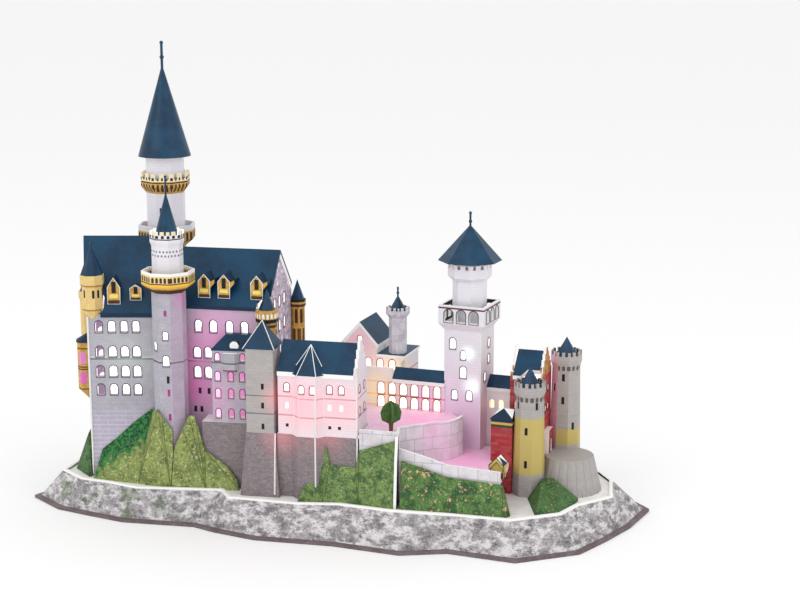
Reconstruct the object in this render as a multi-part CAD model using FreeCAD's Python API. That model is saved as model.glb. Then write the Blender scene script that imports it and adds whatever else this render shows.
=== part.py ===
import FreeCAD, Part
import math
import os

# A castle model folded and slotted from printed foam card, standing on a rocky base.
# Millimetres, +Z up. The front of the castle looks along -Y, and +X runs along its length.
# The origin is the middle of the base's underside.

# Card and joints
CARD = 2.0              # foam card of walls, roofs and base
THIN = 1.4              # thin printed card of crowns, cones and small parts
FIT = 0.15              # clearance where one piece passes another

# Base
PLINTH_T = 2.0          # base board
DECK_Z = 22.0           # top of the deck that carries the buildings
RIM_RISE = 1.6          # how far the rock skirt stands above the deck
LIP = 4.0               # base board showing outside the rock skirt
RIB_MARGIN = 9.0        # ribs stay this far inside the rock skirt's upper edge
RIB_STEP = 76.0         # spacing of the cross ribs
BATTERY_L = 58.0
BATTERY_W = 34.0
BATTERY_H = 16.0
LAMP_D = 8.0            # foot of a lamp
LAMP_H = 5.0
LAMP_BULB_D = 5.0
LAMP_BULB_H = 6.0

# Levels of the courts
UPPER_Z = 70.0          # upper court and terrace
LOWER_Z = 45.0          # lower court before the square tower

# Palace
PALACE_X = -178.3       # outer face of the south-west corner
PALACE_Y = -55.1
WEST_TURN = 8.0         # direction of the west section's front, degrees
EAST_TURN = -3.0        # direction of the east section's front
WEST_LEN = 49.0
EAST_LEN = 83.3
PALACE_DEPTH = 70.0
GABLE_SLANT = 9.0       # the west gable leans out of square by this much, degrees
WEST_EAVE = 144.0       # underside of the roof at the walls
WEST_RIDGE = 192.0      # underside of the roof at the ridge
EAST_EAVE = 151.0
EAST_RIDGE = 185.0
ROOF_OVER = 1.6         # eaves overhang
CORNER_AF = 14.0        # turret on the south-west corner
WEST_BAY_OUT = 8.5
WEST_BAY_BACK = 20.0    # its middle, measured back along the gable
WEST_BAY_Z = 85.0       # foot of its upright part
WEST_BAY_H = 35.0

# Stair turret on the palace front
STAIR_X = -114.9        # its back stands flat against the palace front
STAIR_AF = 22.5         # across flats
STAIR_TOP = 164.0
STAIR_BALCONY_AF = 35.0
STAIR_BALCONY_TOP = 179.5
STAIR_DRUM_AF = 20.5
STAIR_DRUM_TOP = 203.0
STAIR_CROWN_AF = 22.5
STAIR_CROWN_TOP = 208.0
STAIR_CONE_D = 17.5
STAIR_CONE_H = 32.0
STAIR_PIN_H = 12.5

# Main tower behind the palace
MAIN_X = -141.2         # its front stands flat against the palace's north wall
MAIN_AF = 27.5
MAIN_TOP = 248.5
MAIN_GALLERY_Z = 179.5
MAIN_GALLERY_H = 17.0
MAIN_GALLERY_AF = 41.0
MAIN_CROWN_Z = 221.0
MAIN_CROWN_H = 15.5
MAIN_CROWN_AF = 35.0
MAIN_CONE_D = 39.8
MAIN_CONE_H = 69.0
MAIN_PIN_H = 18.5

# Annex beside the bower tower
ANNEX_X = -83.5
ANNEX_Y = -67.2
ANNEX_TURN = 0.0
ANNEX_LEN = 27.5
ANNEX_EAVE = 123.5
ANNEX_RIDGE = 133.0
ANNEX_BASE_OUT = 8.0    # stone base reaching west of the annex walls
ORIEL_W = 10.5
ORIEL_H = 13.0
ORIEL_OUT = 3.0

# Bower corner tower
BOWER_TOWER_X = -45.8
BOWER_TOWER_Y = -69.3
BOWER_TOWER_TURN = -3.0
BOWER_TOWER_SIDE = 20.0
BOWER_TOWER_FOOT = 28.4
BOWER_BASE_Z = 68.0
BOWER_LEDGE = 0.3       # step where the walls stand back from the stone base
BOWER_TOWER_EAVE = 128.5
BOWER_TOWER_ROOF_H = 18.5

# Bower block
BOWER_X = -33.5
BOWER_Y = -78.3
BOWER_TURN = -5.0
BOWER_LEN = 57.0
BOWER_DEPTH = 29.0
BOWER_EAVE = 112.0
BOWER_RIDGE = 129.5
BAY_S = 22.5            # middle of the bay along the front
BAY_FRONT = 12.0        # width of the bay's front face
BAY_OUT = 5.0
BAY_ROOF_H = 19.5

# Hall and its wing
HALL_X = -3.0
HALL_Y = 13.5
HALL_TURN = -11.5
HALL_LEN = 27.0
HALL_DEPTH = 34.0
HALL_EAVE = 111.5
HALL_RIDGE = 126.5
WING_LEN = 21.0
WING_TOP = 104.0
HALL_TURRET_AF = 12.4
HALL_TURRET_TOP = 141.0
HALL_SPIRE_H = 12.0
HALL_PIN_H = 7.0

# Arcaded galleries either side of the square tower
GALLERY_TURN = -11.5
GALLERY_X = 76.2        # east end of the west gallery's front
GALLERY_Y = -18.6
GALLERY_LEN = 61.0
GALLERY_DEPTH = 13.0
GALLERY_EAVE = 90.5
GALLERY_RISE = 9.5
GALLERY_HIGH = 22.0     # the west end carries a parapet in place of a roof
EAST_GALLERY_X = 106.0
EAST_GALLERY_Y = -11.0
EAST_GALLERY_LEN = 19.0
EAST_GALLERY_EAVE = 87.0

# Square tower
SQUARE_X = 94.1
SQUARE_Y = -7.9
SQUARE_TURN = -15.0
SQUARE_SIDE = 28.0
SQUARE_TOP = 132.5
SQUARE_GALLERY_SIDE = 35.0
SQUARE_GALLERY_TOP = 151.0
SQUARE_DRUM_AF = 23.0
SQUARE_DRUM_TOP = 180.0
SQUARE_CROWN_AF = 29.5
SQUARE_CROWN_H = 9.5
SQUARE_ROOF_AF = 43.0
SQUARE_ROOF_H = 26.0
SQUARE_PIN_H = 11.0

# Gatehouse
GATE_X = 126.5
GATE_Y = -38.0
GATE_TURN = -10.0
GATE_LEN = 23.0
GATE_DEPTH = 30.0
GATE_EAVE = 104.0
GATE_RIDGE = 118.5
SOUTH_GATE_X = 141.2
SOUTH_GATE_Y = -48.5
NORTH_GATE_X = 165.0
NORTH_GATE_Y = -11.0
GATE_TOWER_AF = 18.8     # under the crown
GATE_FOOT_AF = 22.0
GATE_CROWN_AF = 21.0
GATE_CROWN_H = 11.5
GATE_ROOF_AF = 15.0
SOUTH_GATE_TOP = 104.5
NORTH_GATE_TOP = 118.5
GATE_ROOF_H = 14.0
BASTION_X = 169.0
BASTION_Y = -33.0
BASTION_R = 17.5
BASTION_BATTER = 6.0
BASTION_TOP = 47.0

# Windows
SLIT_W = 2.2
SLIT_H = 4.4

V = FreeCAD.Vector
UP = V(0, 0, 1)

# The base board's corners, each with the upper end of the crease that rises from it.
RIM = [
    ((-227.5, -46.7), (-203.5, -47.5)),
    ((-201.0, -70.0), (-183.0, -65.5)),
    ((-172.0, -81.0), (-160.0, -71.0)),
    ((-146.0, -90.0), (-138.0, -79.5)),
    ((-93.0, -92.5), (-76.0, -76.0)),
    ((-76.0, -101.0), (-67.0, -91.0)),
    ((-45.0, -112.0), (-17.0, -97.0)),
    ((11.0, -116.0), (13.0, -94.5)),
    ((59.0, -127.0), (49.0, -102.5)),
    ((91.0, -119.0), (90.0, -105.0)),
    ((137.7, -130.0), (133.0, -110.0)),
    ((180.0, -108.0), (166.0, -93.0)),
    ((198.0, -80.0), (177.0, -73.0)),
    ((213.7, -52.0), (200.5, -52.0)),
    ((227.5, -14.0), (200.0, -16.5)),
    ((199.0, 28.0), (186.0, 14.0)),
    ((178.0, 68.0), (165.0, 54.0)),
    ((130.0, 110.0), (119.0, 92.0)),
    ((60.0, 128.0), (56.0, 109.0)),
    ((-20.0, 130.0), (-18.0, 111.0)),
    ((-102.0, 119.0), (-95.0, 101.0)),
    ((-170.0, 92.0), (-160.0, 78.0)),
    ((-215.0, 34.0), (-203.0, 28.0)),
    ((-212.0, -20.0), (-200.0, -24.0)),
]
# Where one strip of rock skirt ends and the next begins, as places in the list above.
SOUTH_SKIRTS = ((0, 4), (4, 9), (9, 13))
EAST_SKIRT = (13, 15)
NORTH_SKIRTS = ((15, 18), (18, 21), (21, 24))


def save(shape, name):
    shape.exportStep("parts/" + name + ".step")


def group(solids):
    return Part.makeCompound(solids)


def fused(solids):
    shape = solids[0]
    for other in solids[1:]:
        shape = shape.fuse(other)
    shape = shape.removeSplitter()
    return shape.Solids[0] if len(shape.Solids) == 1 else shape


def along(x, y, turn, distance):
    angle = math.radians(turn)
    return (x + distance * math.cos(angle), y + distance * math.sin(angle))


def meet(p, turn_p, q, turn_q):
    """Where the line through p at turn_p crosses the line through q at turn_q."""
    a = math.radians(turn_p)
    b = math.radians(turn_q)
    cross = math.cos(a) * math.sin(b) - math.sin(a) * math.cos(b)
    run = ((q[0] - p[0]) * math.sin(b) - (q[1] - p[1]) * math.cos(b)) / cross
    return (p[0] + run * math.cos(a), p[1] + run * math.sin(a))


def distance(p, q):
    return math.hypot(q[0] - p[0], q[1] - p[1])


def turn_of(p, q):
    return math.degrees(math.atan2(q[1] - p[1], q[0] - p[0]))


def inset(points, gap):
    """The closed outline moved inwards by gap, corner for corner. Points run anticlockwise."""
    moved = []
    count = len(points)
    for i in range(count):
        before = turn_of(points[i - 1], points[i])
        after = turn_of(points[i], points[(i + 1) % count])
        p = along(points[i][0], points[i][1], before + 90, gap)
        q = along(points[i][0], points[i][1], after + 90, gap)
        if abs(before - after) < 0.01:
            moved.append(p)
        else:
            moved.append(meet(p, before, q, after))
    return moved


def facet(points):
    return Part.Face(Part.makePolygon([V(*p) for p in points] + [V(*points[0])]))


def closed(facets):
    solid = Part.Solid(Part.makeShell([facet(points) for points in facets]))
    if solid.Volume < 0:
        solid.reverse()
    return solid


def prism(points, low, high):
    return facet([(p[0], p[1], low) for p in points]).extrude(V(0, 0, high - low))


def ngon(sides, across, turn=0.0):
    """Corners of a regular outline, given across its flats, with a flat facing -Y at turn 0."""
    radius = across / 2 / math.cos(math.pi / sides)
    start = -math.pi / 2 + math.pi / sides + math.radians(turn)
    return [
        (radius * math.cos(start + 2 * math.pi * i / sides),
         radius * math.sin(start + 2 * math.pi * i / sides))
        for i in range(sides)
    ]


def frustum(sides, across0, z0, across1, z1, turn=0.0):
    low = ngon(sides, across0, turn)
    if across1 <= 0:
        top = (0.0, 0.0, z1)
        facets = [[(low[i - 1][0], low[i - 1][1], z0), (low[i][0], low[i][1], z0), top]
                  for i in range(sides)]
        facets.append([(p[0], p[1], z0) for p in low])
        return closed(facets)
    high = ngon(sides, across1, turn)
    facets = []
    for i in range(sides):
        facets.append([(low[i - 1][0], low[i - 1][1], z0), (low[i][0], low[i][1], z0),
                       (high[i][0], high[i][1], z1), (high[i - 1][0], high[i - 1][1], z1)])
    facets.append([(p[0], p[1], z0) for p in low])
    facets.append([(p[0], p[1], z1) for p in high])
    return closed(facets)


def sleeve(sides, across0, z0, across1, z1, wall, turn=0.0):
    """A folded tube: outer sizes across its flats at two heights, and its wall."""
    slope = (across1 - across0) / (z1 - z0)
    inner = frustum(sides, across0 - 2 * wall - slope, z0 - 1,
                    across1 - 2 * wall + slope, z1 + 1, turn)
    return frustum(sides, across0, z0, across1, z1, turn).cut(inner)


def cap(sides, across, low, high, turn=0.0):
    return frustum(sides, across, low, across, high, turn)


def spire(sides, across, low, height, wall, turn=0.0):
    """A folded point, hollow from below."""
    outer = frustum(sides, across, low, 0, low + height, turn)
    drop = wall * math.hypot(height, across / 2) / (across / 2)
    inner = frustum(sides, across * (1 - drop / height), low, 0, low + height - drop, turn)
    return outer.cut(inner)


def cone(diameter, low, height, wall):
    """A rolled cone, hollow from below."""
    outer = Part.makeCone(diameter / 2, 0, height, V(0, 0, low))
    drop = wall * math.hypot(height, diameter / 2) / (diameter / 2)
    bore = diameter / 2 * (1 - drop / height)
    return outer.cut(Part.makeCone(bore, 0, height - drop, V(0, 0, low)))


def bead(radius, middle):
    return fused([frustum(6, radius, middle - radius, 2 * radius, middle),
                  frustum(6, 2 * radius, middle, radius, middle + radius)])


def finial(low, height, radius):
    """A slim pin with two beads, rooted in the roof below it."""
    rod = cap(6, radius * 1.1, low - 3 * radius, low + height)
    return fused([rod, bead(radius, low + height * 0.35),
                  bead(radius * 0.85, low + height - radius * 0.85)])


def stood(shape, x, y, turn=0.0):
    moved = shape.copy()
    moved.rotate(V(0, 0, 0), UP, turn)
    moved.translate(V(x, y, 0))
    return moved


def arch(s, z, width, height):
    """A round-headed opening, its sill at z."""
    half = width / 2
    spring = z + height - half
    sill = Part.LineSegment(V(s - half, 0, z), V(s + half, 0, z))
    right = Part.LineSegment(V(s + half, 0, z), V(s + half, 0, spring))
    head = Part.Arc(V(s + half, 0, spring), V(s, 0, z + height), V(s - half, 0, spring))
    left = Part.LineSegment(V(s - half, 0, spring), V(s - half, 0, z))
    return Part.Wire([e.toShape() for e in (sill, right, head, left)])


def slot(s, z, width, height):
    half = width / 2
    corners = [V(s - half, 0, z), V(s + half, 0, z), V(s + half, 0, z + height),
               V(s - half, 0, z + height)]
    return Part.makePolygon(corners + [corners[0]])


def panel(outline, holes, thickness):
    """A flat board in the plane y=0, its back at y=thickness, with openings cut through."""
    outer = Part.makePolygon([V(s, 0, z) for s, z in outline] + [V(outline[0][0], 0, outline[0][1])])
    face = Part.Face(outer)
    for hole in holes:
        face = face.cut(Part.Face(hole))
    return face.extrude(V(0, thickness, 0))


def shaped_board(start, end, outline, holes=(), thickness=CARD):
    flat = panel(outline, holes, thickness)
    return stood(flat, start[0], start[1], turn_of(start, end))


def without(shape, *others):
    for other in others:
        shape = shape.cut(other)
    return shape


def biggest(shape):
    return max(shape.Solids, key=lambda s: s.Volume)


def sheet(points, folds, drop):
    """Folded card: facets between the given corners, made thick along drop."""
    pieces = []
    for fold in folds:
        corner = [V(*points[i]) for i in fold]
        face = Part.Face(Part.makePolygon(corner + [corner[0]]))
        pieces.append(face.extrude(V(*drop)))
    return fused(pieces)


# Palace plan, worked out from its driving sizes
SW = (PALACE_X, PALACE_Y)
BEND = along(SW[0], SW[1], WEST_TURN, WEST_LEN)
SE = along(BEND[0], BEND[1], EAST_TURN, EAST_LEN)
WEST_BACK = along(SW[0], SW[1], WEST_TURN + 90, PALACE_DEPTH)
EAST_BACK = along(SE[0], SE[1], EAST_TURN + 90, PALACE_DEPTH)
NORTH_BEND = meet(WEST_BACK, WEST_TURN, EAST_BACK, EAST_TURN)
NW = meet(WEST_BACK, WEST_TURN, SW, WEST_TURN + 90 + GABLE_SLANT)
NE = EAST_BACK


PALACE = [SW, BEND, SE, NE, NORTH_BEND, NW]


def on_front(x, out):
    """The point out in front of the palace's east section at the given x."""
    run = (x - BEND[0]) / math.cos(math.radians(EAST_TURN))
    return along(*along(BEND[0], BEND[1], EAST_TURN, run), EAST_TURN - 90, out)


def on_north(x, out):
    run = (WEST_BACK[0] - x) / math.cos(math.radians(WEST_TURN))
    return along(*along(WEST_BACK[0], WEST_BACK[1], WEST_TURN + 180, run), WEST_TURN + 90, out)


STAIR = on_front(STAIR_X, STAIR_AF / 2)
MAIN = on_north(MAIN_X, MAIN_AF / 2)


def palace_core(top):
    return prism(PALACE, DECK_Z - 1, top)


def main_tower_core(extra):
    return stood(cap(8, MAIN_AF + 2 * extra, DECK_Z - 1, MAIN_TOP + 1), MAIN[0], MAIN[1], WEST_TURN)


def stair_core(extra):
    core = cap(8, STAIR_AF + 2 * extra, DECK_Z - 1, STAIR_TOP)
    ring = cap(8, STAIR_BALCONY_AF + 2 * extra, STAIR_TOP - 1, STAIR_BALCONY_TOP + 1)
    return stood(core.fuse(ring), STAIR[0], STAIR[1], EAST_TURN)


# Base

def rim_points(inward):
    feet = inset([pair[0] for pair in RIM], LIP + inward)
    heads = inset([pair[1] for pair in RIM], inward)
    return feet, heads


def skirt(first, last):
    """One strip of the sloping rock edge, a facet between each pair of creases."""
    feet, heads = rim_points(0.0)
    inner_feet, inner_heads = rim_points(CARD)
    low = PLINTH_T
    high = DECK_Z + RIM_RISE
    count = len(RIM)
    facets = []

    def corners(i):
        k = i % count
        return ((feet[k][0], feet[k][1], low), (heads[k][0], heads[k][1], high),
                (inner_heads[k][0], inner_heads[k][1], high), (inner_feet[k][0], inner_feet[k][1], low))

    for i in range(first, last):
        foot, head, back_head, back_foot = corners(i)
        foot2, head2, back_head2, back_foot2 = corners(i + 1)
        facets += [[foot, foot2, head2], [foot, head2, head]]
        facets += [[back_foot, back_foot2, back_head2], [back_foot, back_head2, back_head]]
        facets += [[foot, foot2, back_foot2, back_foot], [head, head2, back_head2, back_head]]
    for i in (first, last):
        foot, head, back_head, back_foot = corners(i)
        facets += [[foot, head, back_head], [foot, back_head, back_foot]]
    return closed(facets)


def make_base():
    save(prism([pair[0] for pair in RIM], 0, PLINTH_T), "plinth_board")
    heads = [pair[1] for pair in RIM]
    deck = prism(inset(heads, CARD), DECK_Z - CARD, DECK_Z)
    save(deck, "deck_board")
    save(group([skirt(a, b) for a, b in SOUTH_SKIRTS]), "rock_skirts_south")
    save(skirt(*EAST_SKIRT), "rock_skirt_east")
    save(group([skirt(a, b) for a, b in NORTH_SKIRTS]), "rock_skirts_north")
    return heads


def battery_place():
    return (-RIB_STEP / 2, 52.0)


def make_ribs(heads):
    """Cross ribs and a long spine, halved into each other between base board and deck."""
    low = PLINTH_T
    high = DECK_Z - CARD
    middle = (low + high) / 2
    room = prism(inset(heads, RIB_MARGIN), low, high)
    spine = Part.makeBox(480, CARD, high - low, V(-240, -CARD / 2, low)).common(room)
    places = [RIB_STEP * k for k in (-2, -1, 0, 1, 2)]
    ribs = []
    for x in places:
        rib = Part.makeBox(CARD, 280, high - low, V(x - CARD / 2, -140, low)).common(room)
        notch = Part.makeBox(CARD + 2, CARD + 2 * FIT, middle - low,
                             V(x - CARD / 2 - 1, -CARD / 2 - FIT, low))
        ribs.append(rib.cut(notch))
        halving = Part.makeBox(CARD + 2 * FIT, CARD + 2, high - middle,
                               V(x - CARD / 2 - FIT, -CARD / 2 - 1, middle))
        spine = spine.cut(halving)
    save(group([spine] + ribs), "base_ribs")


def make_battery_box():
    x, y = battery_place()
    box = Part.makeBox(BATTERY_L, BATTERY_W, BATTERY_H, V(x - BATTERY_L / 2, y - BATTERY_W / 2, PLINTH_T))
    rounded = box.makeFillet(2.0, [e for e in box.Edges if abs(e.Vertexes[0].Z - e.Vertexes[-1].Z) > 1])
    save(rounded, "battery_box")


def make_lamps():
    """Lamps stand on the deck inside the buildings."""
    places = [(-155, -20), (-90, -12), (-5, -66), (94, -8), (12, 28), (60, -45), (140, -25)]
    low = DECK_Z + LAMP_H
    high = low + LAMP_BULB_H
    body = cap(12, LAMP_D, DECK_Z, low)
    bulb = cap(12, LAMP_BULB_D, low, high - 2.0)
    dome = frustum(12, LAMP_BULB_D, high - 2.0, LAMP_BULB_D * 0.45, high)
    lamp = fused([body, bulb, dome])
    save(group([stood(lamp, x, y) for x, y in places]), "led_lamps")


# Openings and boards of the buildings

def openings(origin, turn, windows, pointed=False):
    """Cutting bodies for windows in an upright face: each is (along, middle height, width, height)."""
    bodies = []
    for s, z, width, height in windows:
        low = z - height / 2
        wire = slot(s, low, width, height) if pointed else arch(s, low, width, height)
        bodies.append(stood(Part.Face(wire).extrude(V(0, CARD + 2, 0)), 0, 0))
    cutter = Part.makeCompound(bodies)
    cutter.translate(V(0, -1, 0))
    return stood(cutter, origin[0], origin[1], turn)


def mitred_wall(i, low, outline_top):
    """The wall between two corners of the palace, mitred at both ends, its head shaped by outline_top."""
    inner = inset(PALACE, CARD)
    j = (i + 1) % len(PALACE)
    plan = prism([PALACE[i], PALACE[j], inner[j], inner[i]], low, 260)
    run = distance(PALACE[i], PALACE[j])
    outline = [(-5, low), (run + 5, low)] + outline_top
    return plan.common(shaped_board(PALACE[i], PALACE[j], outline, (), CARD * 4))


def slope_section(depth, eave, ridge, over):
    """Section of a folded roof across its ridge: the underside rests on the walls at the eave."""
    rise = (ridge - eave) / (depth / 2)
    thick = CARD * math.hypot(1, rise)
    low = eave - over * rise
    return [(-over, low), (depth / 2, ridge), (depth + over, low), (depth + over, low + thick),
            (depth / 2, ridge + thick), (-over, low + thick)]


def gable_roof(s0, s1, depth, eave, ridge, over):
    """A folded roof in local axes: ridge along x from s0 to s1, front wall at y=0."""
    corners = [V(s0, t, z) for t, z in slope_section(depth, eave, ridge, over)]
    return Part.Face(Part.makePolygon(corners + [corners[0]])).extrude(V(s1 - s0, 0, 0))


def roof_bulk(s0, s1, depth, eave, ridge, over):
    """Everything from the top of such a roof downwards."""
    section = slope_section(depth, eave, ridge, over)
    top = [section[5], (section[5][0], 0), (section[3][0], 0), section[3], section[4]]
    corners = [V(s0, t, z) for t, z in top]
    return Part.Face(Part.makePolygon(corners + [corners[0]])).extrude(V(s1 - s0, 0, 0))


# Palace

WEST_ROWS = ((135.0, 4.8, 8.0), (116.4, 5.2, 7.6), (101.7, 5.4, 8.0), (88.1, 5.0, 7.6))
WEST_COLUMNS = (8.2, 17.6, 26.4, 35.0)
EAST_COLUMNS = (32.6, 43.7, 55.7, 66.8)


def make_palace_walls():
    west = mitred_wall(0, DECK_Z, [(WEST_LEN + 5, WEST_EAVE), (-5, WEST_EAVE)])
    holes = [(s, z, w, h) for z, w, h in WEST_ROWS for s in WEST_COLUMNS]
    save(west.cut(openings(SW, WEST_TURN, holes)), "palace_south_wall_west")

    east = mitred_wall(1, DECK_Z, [(EAST_LEN + 5, EAST_EAVE), (-5, EAST_EAVE)])
    holes = [(s, 137.0, 5.0, 8.4) for s in EAST_COLUMNS]
    holes += [(s, z, 5.0, h) for z, h in ((117.4, 7.6), (102.7, 8.4)) for s in (31.2, 39.2)]
    east = east.cut(openings(BEND, EAST_TURN, holes))
    slits = [(32.6, 88.7, SLIT_W, SLIT_H), (39.4, 88.7, SLIT_W, SLIT_H)]
    slits += [(s, 74.9, SLIT_W, SLIT_H) for s in (29.0, 33.6)]
    save(east.cut(openings(BEND, EAST_TURN, slits, True)), "palace_south_wall_east")

    north_east = mitred_wall(3, DECK_Z, [(EAST_LEN + 30, EAST_EAVE), (-5, EAST_EAVE)])
    north_west = mitred_wall(4, DECK_Z, [(WEST_LEN + 30, WEST_EAVE), (-5, WEST_EAVE)])
    run = distance(NE, NORTH_BEND)
    count = 6
    rows = (137.0, 117.0, 98.0, 78.0)
    holes = [(run * (k + 0.6) / count, z, 5.0, 8.0) for k in range(count) for z in rows]
    north_east = north_east.cut(openings(NE, EAST_TURN + 180, holes))
    run = distance(NORTH_BEND, NW)
    holes = [(run - 8.0, z, 5.0, 8.0) for z in (133.0, 115.0, 97.0, 79.0)]
    north_west = north_west.cut(openings(NORTH_BEND, WEST_TURN + 180, holes))
    save(fused([north_east, north_west]), "palace_north_wall")

    gable = mitred_wall(5, DECK_Z, [(PALACE_DEPTH + 30, 250), (-5, 250)]).cut(west_underside())
    run = distance(NW, SW)
    holes = [(run / 2 + k * 13.0, z, 5.0, 8.0) for k in (-1, 0, 1) for z in (150.0, 128.0)]
    gable = gable.cut(openings(NW, turn_of(NW, SW), holes))
    east_gable = mitred_wall(2, DECK_Z, [(PALACE_DEPTH + 5, 250), (-5, 250)]).cut(east_underside())
    holes = [(PALACE_DEPTH / 2 + k * 13.0, z, 5.0, 8.0) for k in (-1, 0, 1) for z in (150.0, 132.0, 114.0)]
    east_gable = east_gable.cut(openings(SE, EAST_TURN + 90, holes))
    gable = biggest(gable.cut(corner_room(0, WEST_EAVE)))
    east_gable = biggest(east_gable.cut(corner_room(1, EAST_EAVE)))
    save(group([gable, east_gable, party_wall()]), "palace_gables")


def party_wall():
    """The board between the two sections, reaching up to the higher of the two roofs."""
    inner = inset(PALACE, CARD)
    front = inner[1]
    back = inner[4]
    plan = [front, back, along(*back, WEST_TURN + 180, CARD), along(*front, WEST_TURN + 180, CARD)]
    return prism(plan, DECK_Z, 250).cut(west_underside().common(east_underside()))


def west_frame(shape):
    return stood(shape, SW[0], SW[1], WEST_TURN)


def east_frame(shape):
    return stood(shape, BEND[0], BEND[1], EAST_TURN)


def above(section, s0, s1):
    """Everything above the underside of a roof."""
    top = [section[0], section[1], section[2], (section[2][0] + 40, section[2][1] - 40),
           (section[2][0] + 40, 400), (section[0][0] - 40, 400), (section[0][0] - 40, section[0][1] - 40)]
    corners = [V(s0, t, z) for t, z in top]
    return Part.Face(Part.makePolygon(corners + [corners[0]])).extrude(V(s1 - s0, 0, 0))


def west_underside():
    return west_frame(above(slope_section(PALACE_DEPTH, WEST_EAVE, WEST_RIDGE, ROOF_OVER), -60, 120))


def east_underside():
    return east_frame(above(slope_section(PALACE_DEPTH, EAST_EAVE, EAST_RIDGE, ROOF_OVER), -60, 140))


def corner_turret(x, y, turn, across, low, top, crown):
    """A turret hung on a corner: a tapering corbel, a body and a wider crown."""
    body = cap(8, across, low, top)
    corbel = frustum(8, across * 0.45, low - across * 0.6, across, low)
    rim = frustum(8, across, top - crown * 1.3, across * 1.16, top - crown)
    head = cap(8, across * 1.16, top - crown, top)
    return stood(fused([body, corbel, rim, head]), x, y, turn)


def corner_turrets():
    """Each as (place, turn, across, foot of the body, top, height of the crown)."""
    sw = along(*along(*SW, WEST_TURN, 3.9), WEST_TURN + 90, 4.0)
    se = along(*SE, EAST_TURN, 0.5)
    ne = along(*along(*NE, EAST_TURN, 4.2), EAST_TURN + 90, 1.5)
    nw = along(*along(*NW, WEST_TURN + 180, 2.5), WEST_TURN + 90, 3.5)
    return [
        (sw, WEST_TURN, CORNER_AF, 147.0, 172.5, 7.0),
        (se, EAST_TURN, 13.0, 133.0, 151.0, 8.0),
        (ne, EAST_TURN, 10.0, 108.0, 144.0, 5.0),
        (nw, WEST_TURN, 11.0, 112.0, 146.0, 5.0),
    ]


def corner_room(index, low):
    """The room a corner turret needs from a given height upwards."""
    place, turn, across, _, top, _ = corner_turrets()[index]
    return stood(cap(8, across * 1.16 + 2 * FIT, low, top + 40), place[0], place[1], turn)


def turret_rooms():
    """Where roofs and gables pass the corner turrets."""
    return [corner_room(0, 130.0), corner_room(1, EAST_EAVE - 3), corner_room(2, 90.0),
            corner_room(3, 90.0)]


def make_corner_turrets():
    core = palace_core(EAST_EAVE + 1)
    west_core = prism([SW, BEND, NORTH_BEND, NW], DECK_Z, WEST_EAVE)
    bodies = []
    for index, (place, turn, across, low, top, crown) in enumerate(corner_turrets()):
        body = corner_turret(place[0], place[1], turn, across, low, top, crown)
        body = body.cut(west_core) if index == 0 else body.cut(core)
        bodies.append(biggest(body))
    save(group(bodies), "corner_turrets")


def make_palace_roofs():
    bend_turn = turn_of(BEND, NORTH_BEND)
    front = along(*BEND, bend_turn + 180, 12)
    back = along(*NORTH_BEND, bend_turn, 12)
    gable_turn = turn_of(SW, NW)
    west_edge = [along(*along(*NW, gable_turn, 12), WEST_TURN + 180, ROOF_OVER),
                 along(*along(*SW, gable_turn + 180, 12), WEST_TURN + 180, ROOF_OVER)]
    rooms = turret_rooms()
    west = west_frame(gable_roof(-40, 100, PALACE_DEPTH, WEST_EAVE, WEST_RIDGE, ROOF_OVER))
    west = west.common(prism([front, back] + west_edge, 100, 260))
    west = without(west, main_tower_core(FIT), stair_core(FIT), party_wall(), *rooms)
    save(biggest(west), "palace_roof_west")

    east_edge = [along(*along(*SE, EAST_TURN - 90, 12), EAST_TURN, ROOF_OVER),
                 along(*along(*NE, EAST_TURN + 90, 12), EAST_TURN, ROOF_OVER)]
    east = east_frame(gable_roof(-60, 120, PALACE_DEPTH, EAST_EAVE, EAST_RIDGE, ROOF_OVER))
    east = east.common(prism([front] + east_edge + [back], 100, 260))
    east = without(east, main_tower_core(FIT), stair_core(FIT), *rooms)
    save(biggest(east), "palace_roof_east")


def dormer(s, low, width, body_h, top, rise, eave, fin):
    """A roof dormer in local axes: a square front with a pointed head, and a fin on one side."""
    slope_t = (low - eave - CARD * math.hypot(1, rise)) / rise
    half = width / 2
    profile = [(s - half, low - 3), (s + half, low - 3), (s + half, low + body_h),
               (s, top), (s - half, low + body_h)]
    corners = [V(a, slope_t - 0.4, z) for a, z in profile]
    body = Part.Face(Part.makePolygon(corners + [corners[0]])).extrude(V(0, 40, 0))
    if fin:
        side = [(s + half, low + body_h - 5), (s + half + 3.4, low + body_h - 1.0),
                (s + half + 3.4, low + body_h + 1.4), (s + half - 1, low + body_h - 1)]
        corners = [V(a, slope_t - 0.2, z) for a, z in side]
        body = fused([body, Part.Face(Part.makePolygon(corners + [corners[0]])).extrude(V(0, 12, 0))])
    return body


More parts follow.
